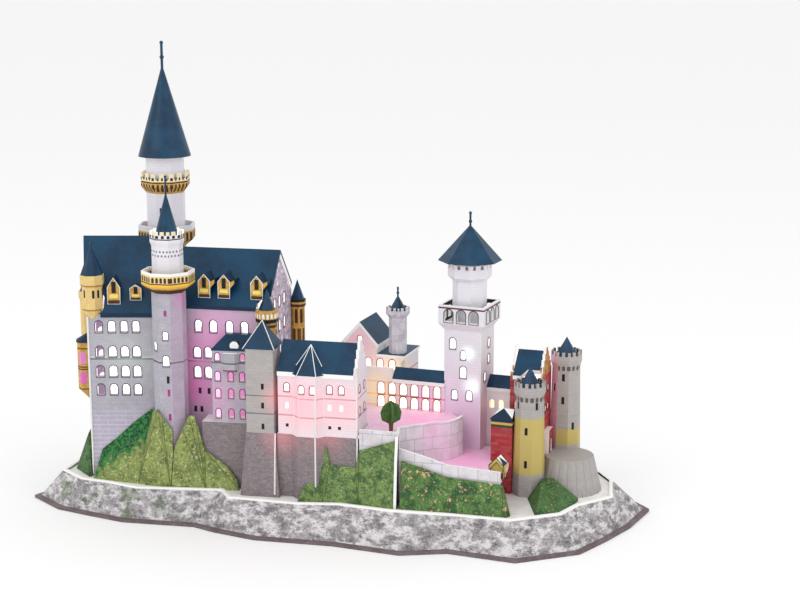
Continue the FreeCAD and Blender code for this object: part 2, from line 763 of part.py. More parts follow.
def make_dormers():
    west_rise = (WEST_RIDGE - WEST_EAVE) / (PALACE_DEPTH / 2)
    east_rise = (EAST_RIDGE - EAST_EAVE) / (PALACE_DEPTH / 2)
    west_bulk = roof_bulk(-60, 140, PALACE_DEPTH, WEST_EAVE, WEST_RIDGE, ROOF_OVER)
    east_bulk = roof_bulk(-60, 140, PALACE_DEPTH, EAST_EAVE, EAST_RIDGE, ROOF_OVER)
    dormers = []
    for s, low, width, body_h, top in ((19.5, 151.5, 9.0, 11.5, 170.0), (35.0, 154.0, 8.0, 8.0, 164.5)):
        body = dormer(s, low, width, body_h, top, west_rise, WEST_EAVE, False).cut(west_bulk)
        dormers.append(west_frame(biggest(body)))
    for s in (36.5, 51.2, 75.5):
        body = dormer(s, 157.5, 8.6, 11.5, 174.0, east_rise, EAST_EAVE, True).cut(east_bulk)
        dormers.append(east_frame(biggest(body)))
    for s in (20.0, 42.0, 64.0):
        body = dormer(EAST_LEN - s, 157.5, 8.6, 11.5, 174.0, east_rise, EAST_EAVE, False).cut(east_bulk)
        turned = biggest(body)
        turned.rotate(V(EAST_LEN / 2, PALACE_DEPTH / 2, 0), UP, 180)
        dormers.append(east_frame(turned))
    save(group(dormers), "palace_dormers")


def make_west_bay():
    """A timbered bay hung on the west gable, with a sloping roof and a tapering foot."""
    place = along(*SW, turn_of(SW, NW), WEST_BAY_BACK)
    outer = [(-8.0, 0.0), (-8.0, -WEST_BAY_OUT + 2.5), (-5.0, -WEST_BAY_OUT), (5.0, -WEST_BAY_OUT),
             (8.0, -WEST_BAY_OUT + 2.5), (8.0, 0.0)]
    low = WEST_BAY_Z
    high = low + WEST_BAY_H
    body = prism(outer, low, high)
    tip = (0, 0, low - 10.5)
    facets = [[(p[0], p[1], low) for p in outer]]
    for i in range(5):
        facets.append([(outer[i][0], outer[i][1], low), (outer[i + 1][0], outer[i + 1][1], low), tip])
    facets.append([(outer[5][0], 0, low), (outer[0][0], 0, low), tip])
    foot = closed(facets)
    head = [(-8.8, 0.0), (-8.8, -WEST_BAY_OUT + 2.2), (-5.4, -WEST_BAY_OUT - 0.8),
            (5.4, -WEST_BAY_OUT - 0.8), (8.8, -WEST_BAY_OUT + 2.2), (8.8, 0.0)]
    peak = (0, 0, high + 6.5)
    facets = [[(p[0], p[1], high) for p in head]]
    for i in range(5):
        facets.append([(head[i][0], head[i][1], high), (head[i + 1][0], head[i + 1][1], high), peak])
    facets.append([(8.8, 0, high), (-8.8, 0, high), peak])
    roof = closed(facets)
    save(stood(fused([body, foot, roof]), place[0], place[1], turn_of(SW, NW) + 180), "west_bay")


# Round towers

def notches(sides, across, wall, low, depth, width, turn=0.0):
    """Bodies that cut two gaps in the head of each face of a crown, leaving merlons."""
    face = across * math.tan(math.pi / sides)
    bodies = []
    for i in range(sides):
        for k in (-1, 1):
            gap = Part.makeBox(width, wall * 2.6, depth + 1,
                               V(k * face / 4 - width / 2, -across / 2 - wall * 0.6, low))
            bodies.append(stood(gap, 0, 0, turn + 360.0 / sides * i))
    return group(bodies)


def gallery_ring(core, across, low, height, wall, floor):
    """A gallery corbelled out round a tower: a flared bowl with a hole for the tower."""
    flare = height * 0.34
    solid = fused([frustum(8, core, low, across, low + flare), cap(8, across, low + flare, low + height)])
    hollow = cap(8, across - 2 * wall, low + flare + floor, low + height + 1)
    return solid.cut(hollow).cut(cap(8, core, low - 1, low + height + 1))


def make_stair_turret():
    place = (STAIR[0], STAIR[1], EAST_TURN)
    shaft = sleeve(8, STAIR_AF, DECK_Z, STAIR_AF, STAIR_TOP, CARD)
    front = [(0.5, 134.0, 3.4, 5.6), (0.5, 115.6, 4.4, 7.0), (0.8, 150.0, 2.4, 4.6)]
    shaft = shaft.cut(openings((0, -STAIR_AF / 2), 0, front))
    slits = [(1.6, 101.6, SLIT_W, SLIT_H + 1), (1.9, 92.0, SLIT_W, SLIT_H + 1),
             (2.2, 74.0, SLIT_W, SLIT_H + 1)]
    shaft = shaft.cut(openings((0, -STAIR_AF / 2), 0, slits, True))
    left = along(0, 0, -135, STAIR_AF / 2)
    shaft = shaft.cut(openings(left, -45, [(0.0, 125.7, 3.4, 6.0)]))
    save(stood(shaft, *place), "stair_turret_shaft")

    low = STAIR_TOP
    flare = frustum(8, STAIR_AF, low, STAIR_BALCONY_AF, low + 6)
    parapet = cap(8, STAIR_BALCONY_AF, low + 6, STAIR_BALCONY_TOP)
    hollow = cap(8, STAIR_BALCONY_AF - 2 * THIN, low + 6, STAIR_BALCONY_TOP + 1)
    save(stood(fused([flare, parapet]).cut(hollow), *place), "stair_turret_balcony")

    drum = sleeve(8, STAIR_DRUM_AF, low + 6, STAIR_DRUM_AF, STAIR_DRUM_TOP, THIN)
    plate = cap(8, STAIR_DRUM_AF, STAIR_DRUM_TOP - THIN, STAIR_DRUM_TOP)
    corbel = frustum(8, STAIR_DRUM_AF, STAIR_DRUM_TOP - 6, STAIR_CROWN_AF, STAIR_DRUM_TOP - 3)
    crown = cap(8, STAIR_CROWN_AF, STAIR_DRUM_TOP - 3, STAIR_CROWN_TOP)
    bowl = cap(8, STAIR_CROWN_AF - 2 * THIN, STAIR_DRUM_TOP, STAIR_CROWN_TOP + 1)
    bore = cap(8, STAIR_DRUM_AF - 2 * THIN, low, STAIR_DRUM_TOP - THIN)
    crown = fused([corbel, crown]).cut(bowl)
    crown = crown.cut(notches(8, STAIR_CROWN_AF, THIN, STAIR_CROWN_TOP - 2.6, 2.6, 2.0))
    drum = fused([drum, plate, crown]).cut(bore)
    save(stood(drum, *place), "stair_turret_drum")

    cone_body = Part.makeCone(STAIR_CONE_D / 2, 0, STAIR_CONE_H, V(0, 0, STAIR_DRUM_TOP))
    pin = finial(STAIR_DRUM_TOP + STAIR_CONE_H - 1.0, STAIR_PIN_H, 1.1)
    save(stood(fused([cone_body, pin]), *place), "stair_turret_spire")


def make_main_tower():
    place = (MAIN[0], MAIN[1], WEST_TURN)
    shaft = sleeve(8, MAIN_AF, DECK_Z, MAIN_AF, MAIN_TOP, CARD)
    lid = cap(8, MAIN_AF, MAIN_TOP - CARD, MAIN_TOP).cut(Part.makeCylinder(5, 300))
    shaft = fused([shaft, lid])
    slits = [(-2.0, 207.0, SLIT_W, SLIT_H + 2)]
    shaft = shaft.cut(openings((0, -MAIN_AF / 2), 0, slits, True))
    back = [(3.0, z, SLIT_W, SLIT_H + 2) for z in (160.0, 130.0, 100.0, 70.0)]
    shaft = shaft.cut(openings((0, MAIN_AF / 2), 180, back, True))
    save(stood(shaft, *place), "main_tower_shaft")

    lower = gallery_ring(MAIN_AF, MAIN_GALLERY_AF, MAIN_GALLERY_Z, MAIN_GALLERY_H, THIN, THIN)
    upper = gallery_ring(MAIN_AF, MAIN_CROWN_AF, MAIN_CROWN_Z, MAIN_CROWN_H, THIN, THIN)
    top = MAIN_CROWN_Z + MAIN_CROWN_H
    upper = upper.cut(notches(8, MAIN_CROWN_AF, THIN, top - 4.0, 4.0, 3.0))
    save(stood(group([lower, upper]), *place), "main_tower_galleries")

    shell = cone(MAIN_CONE_D, MAIN_TOP, MAIN_CONE_H, THIN)
    disc = Part.makeCylinder(MAIN_CONE_D / 2 - THIN, THIN, V(0, 0, MAIN_TOP))
    disc = disc.cut(Part.makeCylinder(4, 10, V(0, 0, MAIN_TOP - 2)))
    pin = finial(MAIN_TOP + MAIN_CONE_H - 1.5, MAIN_PIN_H, 1.6)
    save(stood(fused([shell, disc, pin]), *place), "main_tower_spire")


# Annex and bower

def annex_frame(shape):
    return stood(shape, ANNEX_X, ANNEX_Y, ANNEX_TURN)


def bower_tower_frame(shape):
    return stood(shape, BOWER_TOWER_X, BOWER_TOWER_Y, BOWER_TOWER_TURN)


def bower_frame(shape):
    return stood(shape, BOWER_X, BOWER_Y, BOWER_TURN)


def square(side):
    return [(-side / 2, -side / 2), (side / 2, -side / 2), (side / 2, side / 2), (-side / 2, side / 2)]


def bower_tower_core(extra):
    side = BOWER_TOWER_SIDE + 2 * extra
    head = side + 2 * BOWER_LEDGE
    foot = frustum(4, BOWER_TOWER_FOOT + 2 * extra, DECK_Z, head, BOWER_BASE_Z)
    return bower_tower_frame(foot.fuse(prism(square(side), BOWER_BASE_Z, BOWER_TOWER_EAVE)))


def make_annex():
    palace = palace_core(EAST_EAVE)
    tower = bower_tower_core(0.0)
    tower_roof = bower_tower_frame(frustum(4, BOWER_TOWER_SIDE + 5, BOWER_TOWER_EAVE, 0,
                                           BOWER_TOWER_EAVE + 30))
    plan = [(0, 0), (ANNEX_LEN + 8, 0), (ANNEX_LEN + 8, 30), (0, 30)]
    outer = without(annex_frame(prism(plan, UPPER_Z + 1, ANNEX_EAVE)), palace, tower)
    inner = annex_frame(prism([(CARD, CARD), (ANNEX_LEN + 8, CARD), (ANNEX_LEN + 8, 30), (CARD, 30)],
                              UPPER_Z, ANNEX_EAVE + 1))
    walls = biggest(outer.cut(inner))
    left = (ANNEX_LEN - ORIEL_W) / 2
    right = (ANNEX_LEN + ORIEL_W) / 2
    oriel = prism([(left, CARD), (left, -ORIEL_OUT + 1.2), (left + 1.6, -ORIEL_OUT),
                   (right - 1.6, -ORIEL_OUT), (right, -ORIEL_OUT + 1.2), (right, CARD)],
                  ANNEX_EAVE - 1.5 - ORIEL_H, ANNEX_EAVE - 1.5)
    walls = fused([walls, annex_frame(oriel)])
    columns = (4.2, 13.6, 21.8)
    holes = [(s, z, 3.2, 6.0) for s in columns for z in (105.0, 92.5, 77.7)]
    holes += [(s, 119.0, 3.0, 5.0) for s in (columns[0], columns[2] + 0.6)]
    walls = biggest(walls.cut(openings((ANNEX_X, ANNEX_Y), ANNEX_TURN, holes)).cut(tower_roof))
    save(walls, "annex_walls")

    base_plan = [(-ANNEX_BASE_OUT, -0.8), (ANNEX_LEN + 8, -0.8), (ANNEX_LEN + 8, 30), (-ANNEX_BASE_OUT, 30)]
    outer = without(annex_frame(prism(base_plan, DECK_Z, UPPER_Z + 1)), palace, tower)
    hollow_plan = [(-ANNEX_BASE_OUT + CARD, -0.8 + CARD), (ANNEX_LEN + 8, -0.8 + CARD),
                   (ANNEX_LEN + 8, 30), (-ANNEX_BASE_OUT + CARD, 30)]
    inner = annex_frame(prism(hollow_plan, DECK_Z - 1, UPPER_Z + 1 - CARD))
    save(biggest(outer.cut(inner)), "annex_base")

    over = 1.0
    low = ANNEX_EAVE
    right = ANNEX_LEN + 8
    ridge = (8.0, 11.0, ANNEX_RIDGE)
    end = (right, 11.0, ANNEX_RIDGE)
    a = (-over, -over, low)
    b = (right, -over, low)
    c = (right, 26.0, low)
    d = (-over, 26.0, low)
    back_end = (right, 26.0, ANNEX_RIDGE)
    back_ridge = (8.0, 26.0, ANNEX_RIDGE)
    roof = closed([[a, b, c, d], [a, b, end, ridge], [b, c, back_end, end],
                   [ridge, end, back_end, back_ridge],
                   [a, ridge, back_ridge, d], [d, back_ridge, back_end, c]])
    dormer_body = Part.makeCylinder(3.2, 9.0, V(ANNEX_LEN / 2 + 2.5, 1.0, ANNEX_EAVE + 3.4), V(0, 1, 0))
    roof = without(annex_frame(fused([roof, dormer_body])), palace, tower, tower_roof, walls,
                   corner_room(1, 115.0))
    save(biggest(roof), "annex_roof")


def make_bower_tower():
    side = BOWER_TOWER_SIDE
    head = side + 2 * BOWER_LEDGE
    foot = sleeve(4, BOWER_TOWER_FOOT, DECK_Z, head, BOWER_BASE_Z, CARD)
    ledge = prism(square(head), BOWER_BASE_Z - THIN, BOWER_BASE_Z)
    ledge = ledge.common(frustum(4, BOWER_TOWER_FOOT, DECK_Z, head, BOWER_BASE_Z))
    foot = fused([foot, ledge])
    save(bower_tower_frame(foot), "bower_tower_base")
    walls = sleeve(4, side, BOWER_BASE_Z, side, BOWER_TOWER_EAVE, CARD)
    slits = [(2.0, z, SLIT_W, SLIT_H) for z in (101.5, 87.7, 72.4)]
    walls = walls.cut(openings((0, -side / 2), 0, slits, True))
    save(bower_tower_frame(walls), "bower_tower_walls")
    roof = frustum(4, side + 3.0, BOWER_TOWER_EAVE, 0, BOWER_TOWER_EAVE + BOWER_TOWER_ROOF_H)
    save(bower_tower_frame(roof), "bower_tower_roof")


def bay_outline(grow, out, depth):
    half = BAY_FRONT / 2 + grow
    left = BAY_S - half
    right = BAY_S + half
    return [(0, 0), (left - out, 0), (left, -out), (right, -out), (right + out, 0),
            (BOWER_LEN, 0), (BOWER_LEN, depth), (0, depth)]


def make_bower():
    tower = bower_tower_core(0.0)
    plan = bay_outline(0.0, BAY_OUT, BOWER_DEPTH)
    walls = prism(plan, BOWER_BASE_Z, BOWER_EAVE).cut(prism(inset(plan, CARD), 0, 200))
    gable = Part.Face(Part.makePolygon([V(0, 0, BOWER_EAVE), V(0, BOWER_DEPTH, BOWER_EAVE),
                                        V(0, BOWER_DEPTH / 2, BOWER_RIDGE), V(0, 0, BOWER_EAVE)]))
    west_gable = gable.extrude(V(CARD, 0, 0))
    steps = [(0.0, BOWER_EAVE)]
    count = 4
    rise = (BOWER_RIDGE - BOWER_EAVE + 5.5) / count
    for k in range(count):
        t = BOWER_DEPTH / 2 / count * k
        level = BOWER_EAVE + rise * (k + 1)
        steps += [(t, level), (t + BOWER_DEPTH / 2 / count, level)]
    mirror = [(BOWER_DEPTH - t, z) for t, z in reversed(steps)]
    outline = steps + mirror[1:]
    stepped = Part.Face(Part.makePolygon([V(BOWER_LEN - CARD, t, z) for t, z in outline + [outline[0]]]))
    walls = fused([walls, west_gable, stepped.extrude(V(CARD, 0, 0))])
    rows = [(s, 102.0, 3.4, 5.4) for s in (6.5, 18.5, 26.5, 37.5, 46.0)]
    rows += [(s, 88.7, 2.6, 4.6) for s in (6.5, 37.5, 46.0)]
    walls = walls.cut(openings((0, 0), 0, [w for w in rows if not 14 < w[0] < 30]))
    bays = [w for w in rows if 14 < w[0] < 30]
    walls = walls.cut(openings((0, -BAY_OUT), 0, bays))
    slits = [(s, 74.2, SLIT_W, 2.4) for s in (6.5, 37.5, 44.5)]
    walls = walls.cut(openings((0, 0), 0, slits, True))
    back = [(s, z, 3.4, 5.4) for s in (8.0, 20.0, 32.0, 44.0) for z in (102.0, 84.0)]
    walls = walls.cut(openings((BOWER_LEN, BOWER_DEPTH), 180, back))
    side = [(s, z, 3.0, 5.0) for s in (8.0, 21.0) for z in (102.0, 86.0)]
    walls = walls.cut(openings((BOWER_LEN, 0), 90, side))
    save(biggest(bower_frame(walls).cut(tower)), "bower_walls")

    grown = bay_outline(1.0, BAY_OUT, BOWER_DEPTH)
    base = prism(inset(grown, -0.8), DECK_Z, BOWER_BASE_Z).cut(prism(inset(plan, CARD), 0, 200))
    save(biggest(bower_frame(base).cut(tower)), "bower_base")

    roof = gable_roof(0.0, BOWER_LEN - CARD, BOWER_DEPTH, BOWER_EAVE, BOWER_RIDGE, ROOF_OVER)
    tower_roof = bower_tower_frame(frustum(4, BOWER_TOWER_SIDE + 3.0, BOWER_TOWER_EAVE, 0,
                                           BOWER_TOWER_EAVE + BOWER_TOWER_ROOF_H))
    bay = prism(plan, 0, BOWER_EAVE)
    roof = bower_frame(roof.cut(bay)).cut(tower).cut(tower_roof)
    save(biggest(roof), "bower_roof")

    over = 1.0
    half = BAY_FRONT / 2 + over
    reach = half + BAY_OUT + over
    low = BOWER_EAVE
    ring = [(BAY_S - reach, 8.0), (BAY_S - reach, -0.2), (BAY_S - half, -BAY_OUT - over),
            (BAY_S + half, -BAY_OUT - over), (BAY_S + reach, -0.2), (BAY_S + reach, 8.0)]
    tip = (BAY_S, 7.5, BOWER_EAVE + BAY_ROOF_H)
    facets = [[(p[0], p[1], low) for p in ring]]
    for i in range(len(ring)):
        p = ring[i]
        q = ring[(i + 1) % len(ring)]
        facets.append([(p[0], p[1], low), (q[0], q[1], low), tip])
    bay_roof = closed(facets).cut(roof_bulk(-5, BOWER_LEN + 5, BOWER_DEPTH, BOWER_EAVE, BOWER_RIDGE,
                                            ROOF_OVER))
    bay_roof = bay_roof.cut(prism([(-5, 0), (BOWER_LEN + 5, 0), (BOWER_LEN + 5, 40), (-5, 40)], 0,
                                  BOWER_EAVE))
    save(bower_frame(biggest(bay_roof)), "bower_bay_roof")


# Hall, wing and galleries

def hall_frame(shape):
    return stood(shape, HALL_X, HALL_Y, HALL_TURN)


def gallery_frame(shape):
    place = along(GALLERY_X, GALLERY_Y, GALLERY_TURN + 180, GALLERY_LEN)
    return stood(shape, place[0], place[1], GALLERY_TURN)


def square_core(extra):
    side = SQUARE_SIDE + 2 * extra
    body = prism(square(side), DECK_Z - 1, SQUARE_TOP)
    return stood(body, SQUARE_X, SQUARE_Y, SQUARE_TURN)


def make_hall():
    end = HALL_LEN + WING_LEN
    outline = [(0, 0), (end, 0), (end, HALL_DEPTH), (0, HALL_DEPTH)]
    walls = prism(outline, DECK_Z, WING_TOP).cut(prism(inset(outline, CARD), 0, 300))
    hall = [(0, 0), (HALL_LEN, 0), (HALL_LEN, HALL_DEPTH), (0, HALL_DEPTH)]
    upper = prism(hall, WING_TOP, HALL_EAVE).cut(prism(inset(hall, CARD), 0, 300))
    cross = prism([(HALL_LEN - CARD, CARD), (HALL_LEN, CARD), (HALL_LEN, HALL_DEPTH - CARD),
                   (HALL_LEN - CARD, HALL_DEPTH - CARD)], DECK_Z, WING_TOP)
    gable = [V(0, 0, HALL_EAVE), V(HALL_LEN, 0, HALL_EAVE), V(HALL_LEN / 2, 0, HALL_RIDGE),
             V(0, 0, HALL_EAVE)]
    front = Part.Face(Part.makePolygon(gable)).extrude(V(0, CARD, 0))
    back = front.copy()
    back.translate(V(0, HALL_DEPTH - CARD, 0))
    walls = fused([walls, upper, cross, front, back])
    holes = [(s, 98.5, 4.6, 7.6) for s in (20.0, 29.5, 39.0, 48.5)] + [(HALL_LEN / 2, 116.0, 3.4, 5.4)]
    walls = walls.cut(openings((0, 0), 0, holes))
    back_holes = [(s, z, 4.0, 6.4) for s in (8.0, 20.0, 34.0, 46.0) for z in (96.0, 76.0)]
    walls = walls.cut(openings((end, HALL_DEPTH), 180, back_holes))
    save(hall_frame(walls), "hall_walls")

    roof = gable_roof(-1.0, HALL_DEPTH + 1.0, HALL_LEN, HALL_EAVE, HALL_RIDGE, 1.2)
    roof.rotate(V(0, 0, 0), UP, 90)
    roof.translate(V(HALL_LEN, 0, 0))
    flat = prism([(HALL_LEN, -1.0), (end + 1.0, -1.0), (end + 1.0, HALL_DEPTH + 1.0),
                  (HALL_LEN, HALL_DEPTH + 1.0)], WING_TOP, WING_TOP + CARD)
    save(hall_frame(group([roof, flat])), "hall_roof")

    x, y = along(HALL_X, HALL_Y, HALL_TURN, HALL_LEN + 13.2)
    place = (*along(x, y, HALL_TURN + 90, 9.5), HALL_TURN)
    low = WING_TOP + CARD
    body = cap(8, HALL_TURRET_AF, low, HALL_TURRET_TOP - 8)
    corbel = frustum(8, HALL_TURRET_AF, HALL_TURRET_TOP - 8, HALL_TURRET_AF + 4, HALL_TURRET_TOP - 5)
    head = cap(8, HALL_TURRET_AF + 4, HALL_TURRET_TOP - 5, HALL_TURRET_TOP)
    bowl = cap(8, HALL_TURRET_AF + 4 - 2 * THIN, HALL_TURRET_TOP - 3, HALL_TURRET_TOP + 1)
    turret = fused([body, corbel, head]).cut(bowl)
    turret = turret.cut(notches(8, HALL_TURRET_AF + 4, THIN, HALL_TURRET_TOP - 2.4, 2.4, 1.8))
    turret = turret.cut(cap(8, HALL_TURRET_AF - 2 * CARD, low - 1, HALL_TURRET_TOP - 10))
    save(stood(turret, *place), "hall_turret")
    return place


def make_galleries():
    tower = square_core(0.0)
    foot = DECK_Z
    end = GALLERY_LEN + 1.2
    outline = [(0, 0), (end, 0), (end, GALLERY_DEPTH), (0, GALLERY_DEPTH)]
    west = prism(outline, foot, GALLERY_EAVE).cut(prism(inset(outline, CARD), 0, 300))
    high = prism([(0, 0), (GALLERY_HIGH, 0), (GALLERY_HIGH, CARD), (0, CARD)], GALLERY_EAVE,
                 GALLERY_EAVE + GALLERY_RISE)
    lid = prism([(0, 0), (GALLERY_HIGH, 0), (GALLERY_HIGH, GALLERY_DEPTH), (0, GALLERY_DEPTH)],
                GALLERY_EAVE - CARD, GALLERY_EAVE)
    west = fused([west, high, lid])
    pitch = 8.7
    holes = [(GALLERY_LEN - 4.6 - pitch * k, z, 5.0, 8.4) for k in range(6) for z in (84.9, 74.8)]
    west = west.cut(openings((0, 0), 0, holes))
    west = biggest(gallery_frame(west).cut(tower))
    roof = gable_roof(GALLERY_HIGH, end, GALLERY_DEPTH, GALLERY_EAVE, GALLERY_EAVE + GALLERY_RISE - 3.0,
                      1.0)
    roof = biggest(gallery_frame(roof).cut(tower))

    length = EAST_GALLERY_LEN
    outline = [(-12, 0), (length, 0), (length, GALLERY_DEPTH), (-12, GALLERY_DEPTH)]
    east = prism(outline, foot, EAST_GALLERY_EAVE).cut(prism(inset(outline, CARD), 0, 300))
    east = east.cut(openings((0, 0), 0, [(s, 76.5, 3.6, 6.4) for s in (5.5, 12.5)]))
    place = (EAST_GALLERY_X, EAST_GALLERY_Y, GALLERY_TURN)
    gate = gate_core(0.0)
    east = biggest(without(stood(east, *place), tower, gate))
    east_roof = gable_roof(-12, length + 1.0, GALLERY_DEPTH, EAST_GALLERY_EAVE, EAST_GALLERY_EAVE + 7.0,
                           1.0)
    east_roof = biggest(without(stood(east_roof, *place), tower, gate))
    hall = hall_frame(prism([(0, 0), (HALL_LEN + WING_LEN, 0), (HALL_LEN + WING_LEN, HALL_DEPTH),
                             (0, HALL_DEPTH)],
                            DECK_Z, HALL_RIDGE + 20))
    save(group([biggest(west.cut(hall)), east]), "gallery_walls")
    save(group([biggest(roof.cut(hall)), east_roof]), "gallery_roofs")


# Square tower

def make_square_tower():
    place = (SQUARE_X, SQUARE_Y, SQUARE_TURN)
    side = SQUARE_SIDE
    shaft = prism(square(side), DECK_Z, SQUARE_TOP).cut(prism(square(side - 2 * CARD), 0, 300))
    front = [(6.4, 122.8, 4.2, 7.4), (14.5, 114.7, 3.6, 6.0), (14.6, 102.0, 4.6, 8.0),
             (8.1, 84.6, 4.0, 6.6), (19.4, 84.9, 4.0, 6.6)]
    side_holes = [(s, z, 3.6, 6.4) for s, z in ((17.0, 122.0), (17.0, 110.0), (9.0, 98.0), (17.0, 88.0))]
    half = side / 2
    shaft = shaft.cut(openings((-half, -half), 0, front))
    shaft = shaft.cut(openings((half, -half), 90, side_holes))
    shaft = shaft.cut(openings((half, half), 180, front[:3]))
    shaft = shaft.cut(openings((-half, half), 270, side_holes[:2]))
    save(stood(shaft, *place), "square_tower_shaft")

    wide = SQUARE_GALLERY_SIDE
    low = SQUARE_TOP
    flare = frustum(4, side, low, wide, low + 5)
    ring = prism(square(wide), low + 5, SQUARE_GALLERY_TOP)
    inside = prism(square(wide - 2 * CARD), low + 5, SQUARE_GALLERY_TOP + 1)
    gallery = fused([flare, ring]).cut(inside)
    arches = [(wide / 2 + k * 9.6, low + 11.2, 6.4, 9.0) for k in (-1, 0, 1)]
    corners = ((-1, -1, 0), (1, -1, 90), (1, 1, 180), (-1, 1, 270))
    for a, b, turn in corners:
        gallery = gallery.cut(openings((a * wide / 2, b * wide / 2), turn, arches))
    save(stood(gallery, *place), "square_tower_gallery")

    drum_low = low + 5
    top = SQUARE_DRUM_TOP
    drum = sleeve(8, SQUARE_DRUM_AF, drum_low, SQUARE_DRUM_AF, top, THIN)
    crown_low = top - SQUARE_CROWN_H
    rim = frustum(8, SQUARE_DRUM_AF, crown_low - 3, SQUARE_CROWN_AF, crown_low)
    head = cap(8, SQUARE_CROWN_AF, crown_low, top)
    bowl = cap(8, SQUARE_CROWN_AF - 2 * THIN, crown_low + THIN, top + 1)
    bore = cap(8, SQUARE_DRUM_AF - 2 * THIN, drum_low - 1, top + 1)
    core = cap(8, SQUARE_DRUM_AF, crown_low, top)
    crown = fused([fused([rim, head]).cut(bowl), core]).cut(bore)
    crown = crown.cut(notches(8, SQUARE_CROWN_AF, THIN, top - 3.0, 3.0, 2.4))
    lid = cap(8, SQUARE_DRUM_AF, top, top + 2.0)
    drum = fused([drum, crown, lid])
    save(stood(drum, *place), "square_tower_drum")

    shell = spire(8, SQUARE_ROOF_AF, top + 2.0, SQUARE_ROOF_H, THIN)
    floor = cap(8, SQUARE_ROOF_AF - 3.0, top + 2.0, top + 2.0 + THIN)
    floor = floor.cut(Part.makeCylinder(4, 20, V(0, 0, top - 4)))
    pin = finial(top + 2.0 + SQUARE_ROOF_H - 1.5, SQUARE_PIN_H, 1.3)
    save(stood(fused([shell, floor, pin]), *place), "square_tower_roof")


# Courts

COURT_EDGE = [(52.0, -71.0), (66.0, -61.5), (75.5, -55.0), (80.5, -54.0), (85.5, -51.0), (90.0, -44.5),
              (92.8, -36.5)]
COURT_NORTH = [(4.0, 31.0), (-46.0, 14.5)]
PARAPET = [(53.5, -87.5), (69.0, -88.5), (87.4, -90.5), (124.4, -97.0)]


def wall_strip(points, low, tops, thickness=CARD):
    """An upright folded wall along the given points, its back on the left, its head following tops."""
    boards = []
    count = len(points)
    moved = []
    for i in range(count):
        before = turn_of(points[max(i - 1, 0)], points[max(i, 1)])
        after = turn_of(points[min(i, count - 2)], points[min(i + 1, count - 1)])
        p = along(*points[i], before + 90, thickness)
        q = along(*points[i], after + 90, thickness)
        moved.append(p if abs(before - after) < 0.01 else meet(p, before, q, after))
    for i in range(count - 1):
        a, b, c, d = points[i], points[i + 1], moved[i + 1], moved[i]
        za, zb = tops[i], tops[i + 1]
        facets = [[(a[0], a[1], low), (b[0], b[1], low), (c[0], c[1], low), (d[0], d[1], low)],
                  [(a[0], a[1], low), (b[0], b[1], low), (b[0], b[1], zb), (a[0], a[1], za)],
                  [(d[0], d[1], low), (c[0], c[1], low), (c[0], c[1], zb), (d[0], d[1], za)],
                  [(a[0], a[1], low), (a[0], a[1], za), (d[0], d[1], za), (d[0], d[1], low)],
                  [(b[0], b[1], low), (b[0], b[1], zb), (c[0], c[1], zb), (c[0], c[1], low)],
                  [(a[0], a[1], za), (b[0], b[1], zb), (c[0], c[1], zb)],
                  [(a[0], a[1], za), (c[0], c[1], zb), (d[0], d[1], za)]]
        boards.append(closed(facets))
    return fused(boards)


def court_rooms():
    """What stands in the courts, for the floors to be cut round."""
    palace = palace_core(EAST_EAVE)
    bower = bower_frame(prism(inset(bay_outline(1.0, BAY_OUT, BOWER_DEPTH), -0.8), DECK_Z - 1, BOWER_RIDGE))
    hall = hall_frame(prism([(0, 0), (HALL_LEN + WING_LEN, 0), (HALL_LEN + WING_LEN, HALL_DEPTH),
                             (0, HALL_DEPTH)],
                            DECK_Z - 1, HALL_RIDGE))
    gallery = gallery_frame(prism([(0, 0), (GALLERY_LEN + 1.2, 0), (GALLERY_LEN + 1.2, GALLERY_DEPTH),
                                   (0, GALLERY_DEPTH)], DECK_Z - 1, GALLERY_EAVE))
    east = stood(prism([(-12, 0), (EAST_GALLERY_LEN, 0), (EAST_GALLERY_LEN, GALLERY_DEPTH),
                        (-12, GALLERY_DEPTH)],
                       DECK_Z - 1, EAST_GALLERY_EAVE), EAST_GALLERY_X, EAST_GALLERY_Y, GALLERY_TURN)
    annex = annex_frame(prism([(-ANNEX_BASE_OUT, -0.8), (ANNEX_LEN + 8, -0.8), (ANNEX_LEN + 8, 30),
                               (-ANNEX_BASE_OUT, 30)], DECK_Z - 1, ANNEX_EAVE))
    return [palace, bower, bower_tower_core(0.0), annex, hall, gallery, east, square_core(0.0),
            gate_core(0.0),
            annex_gate_core()] + gate_tower_cores()


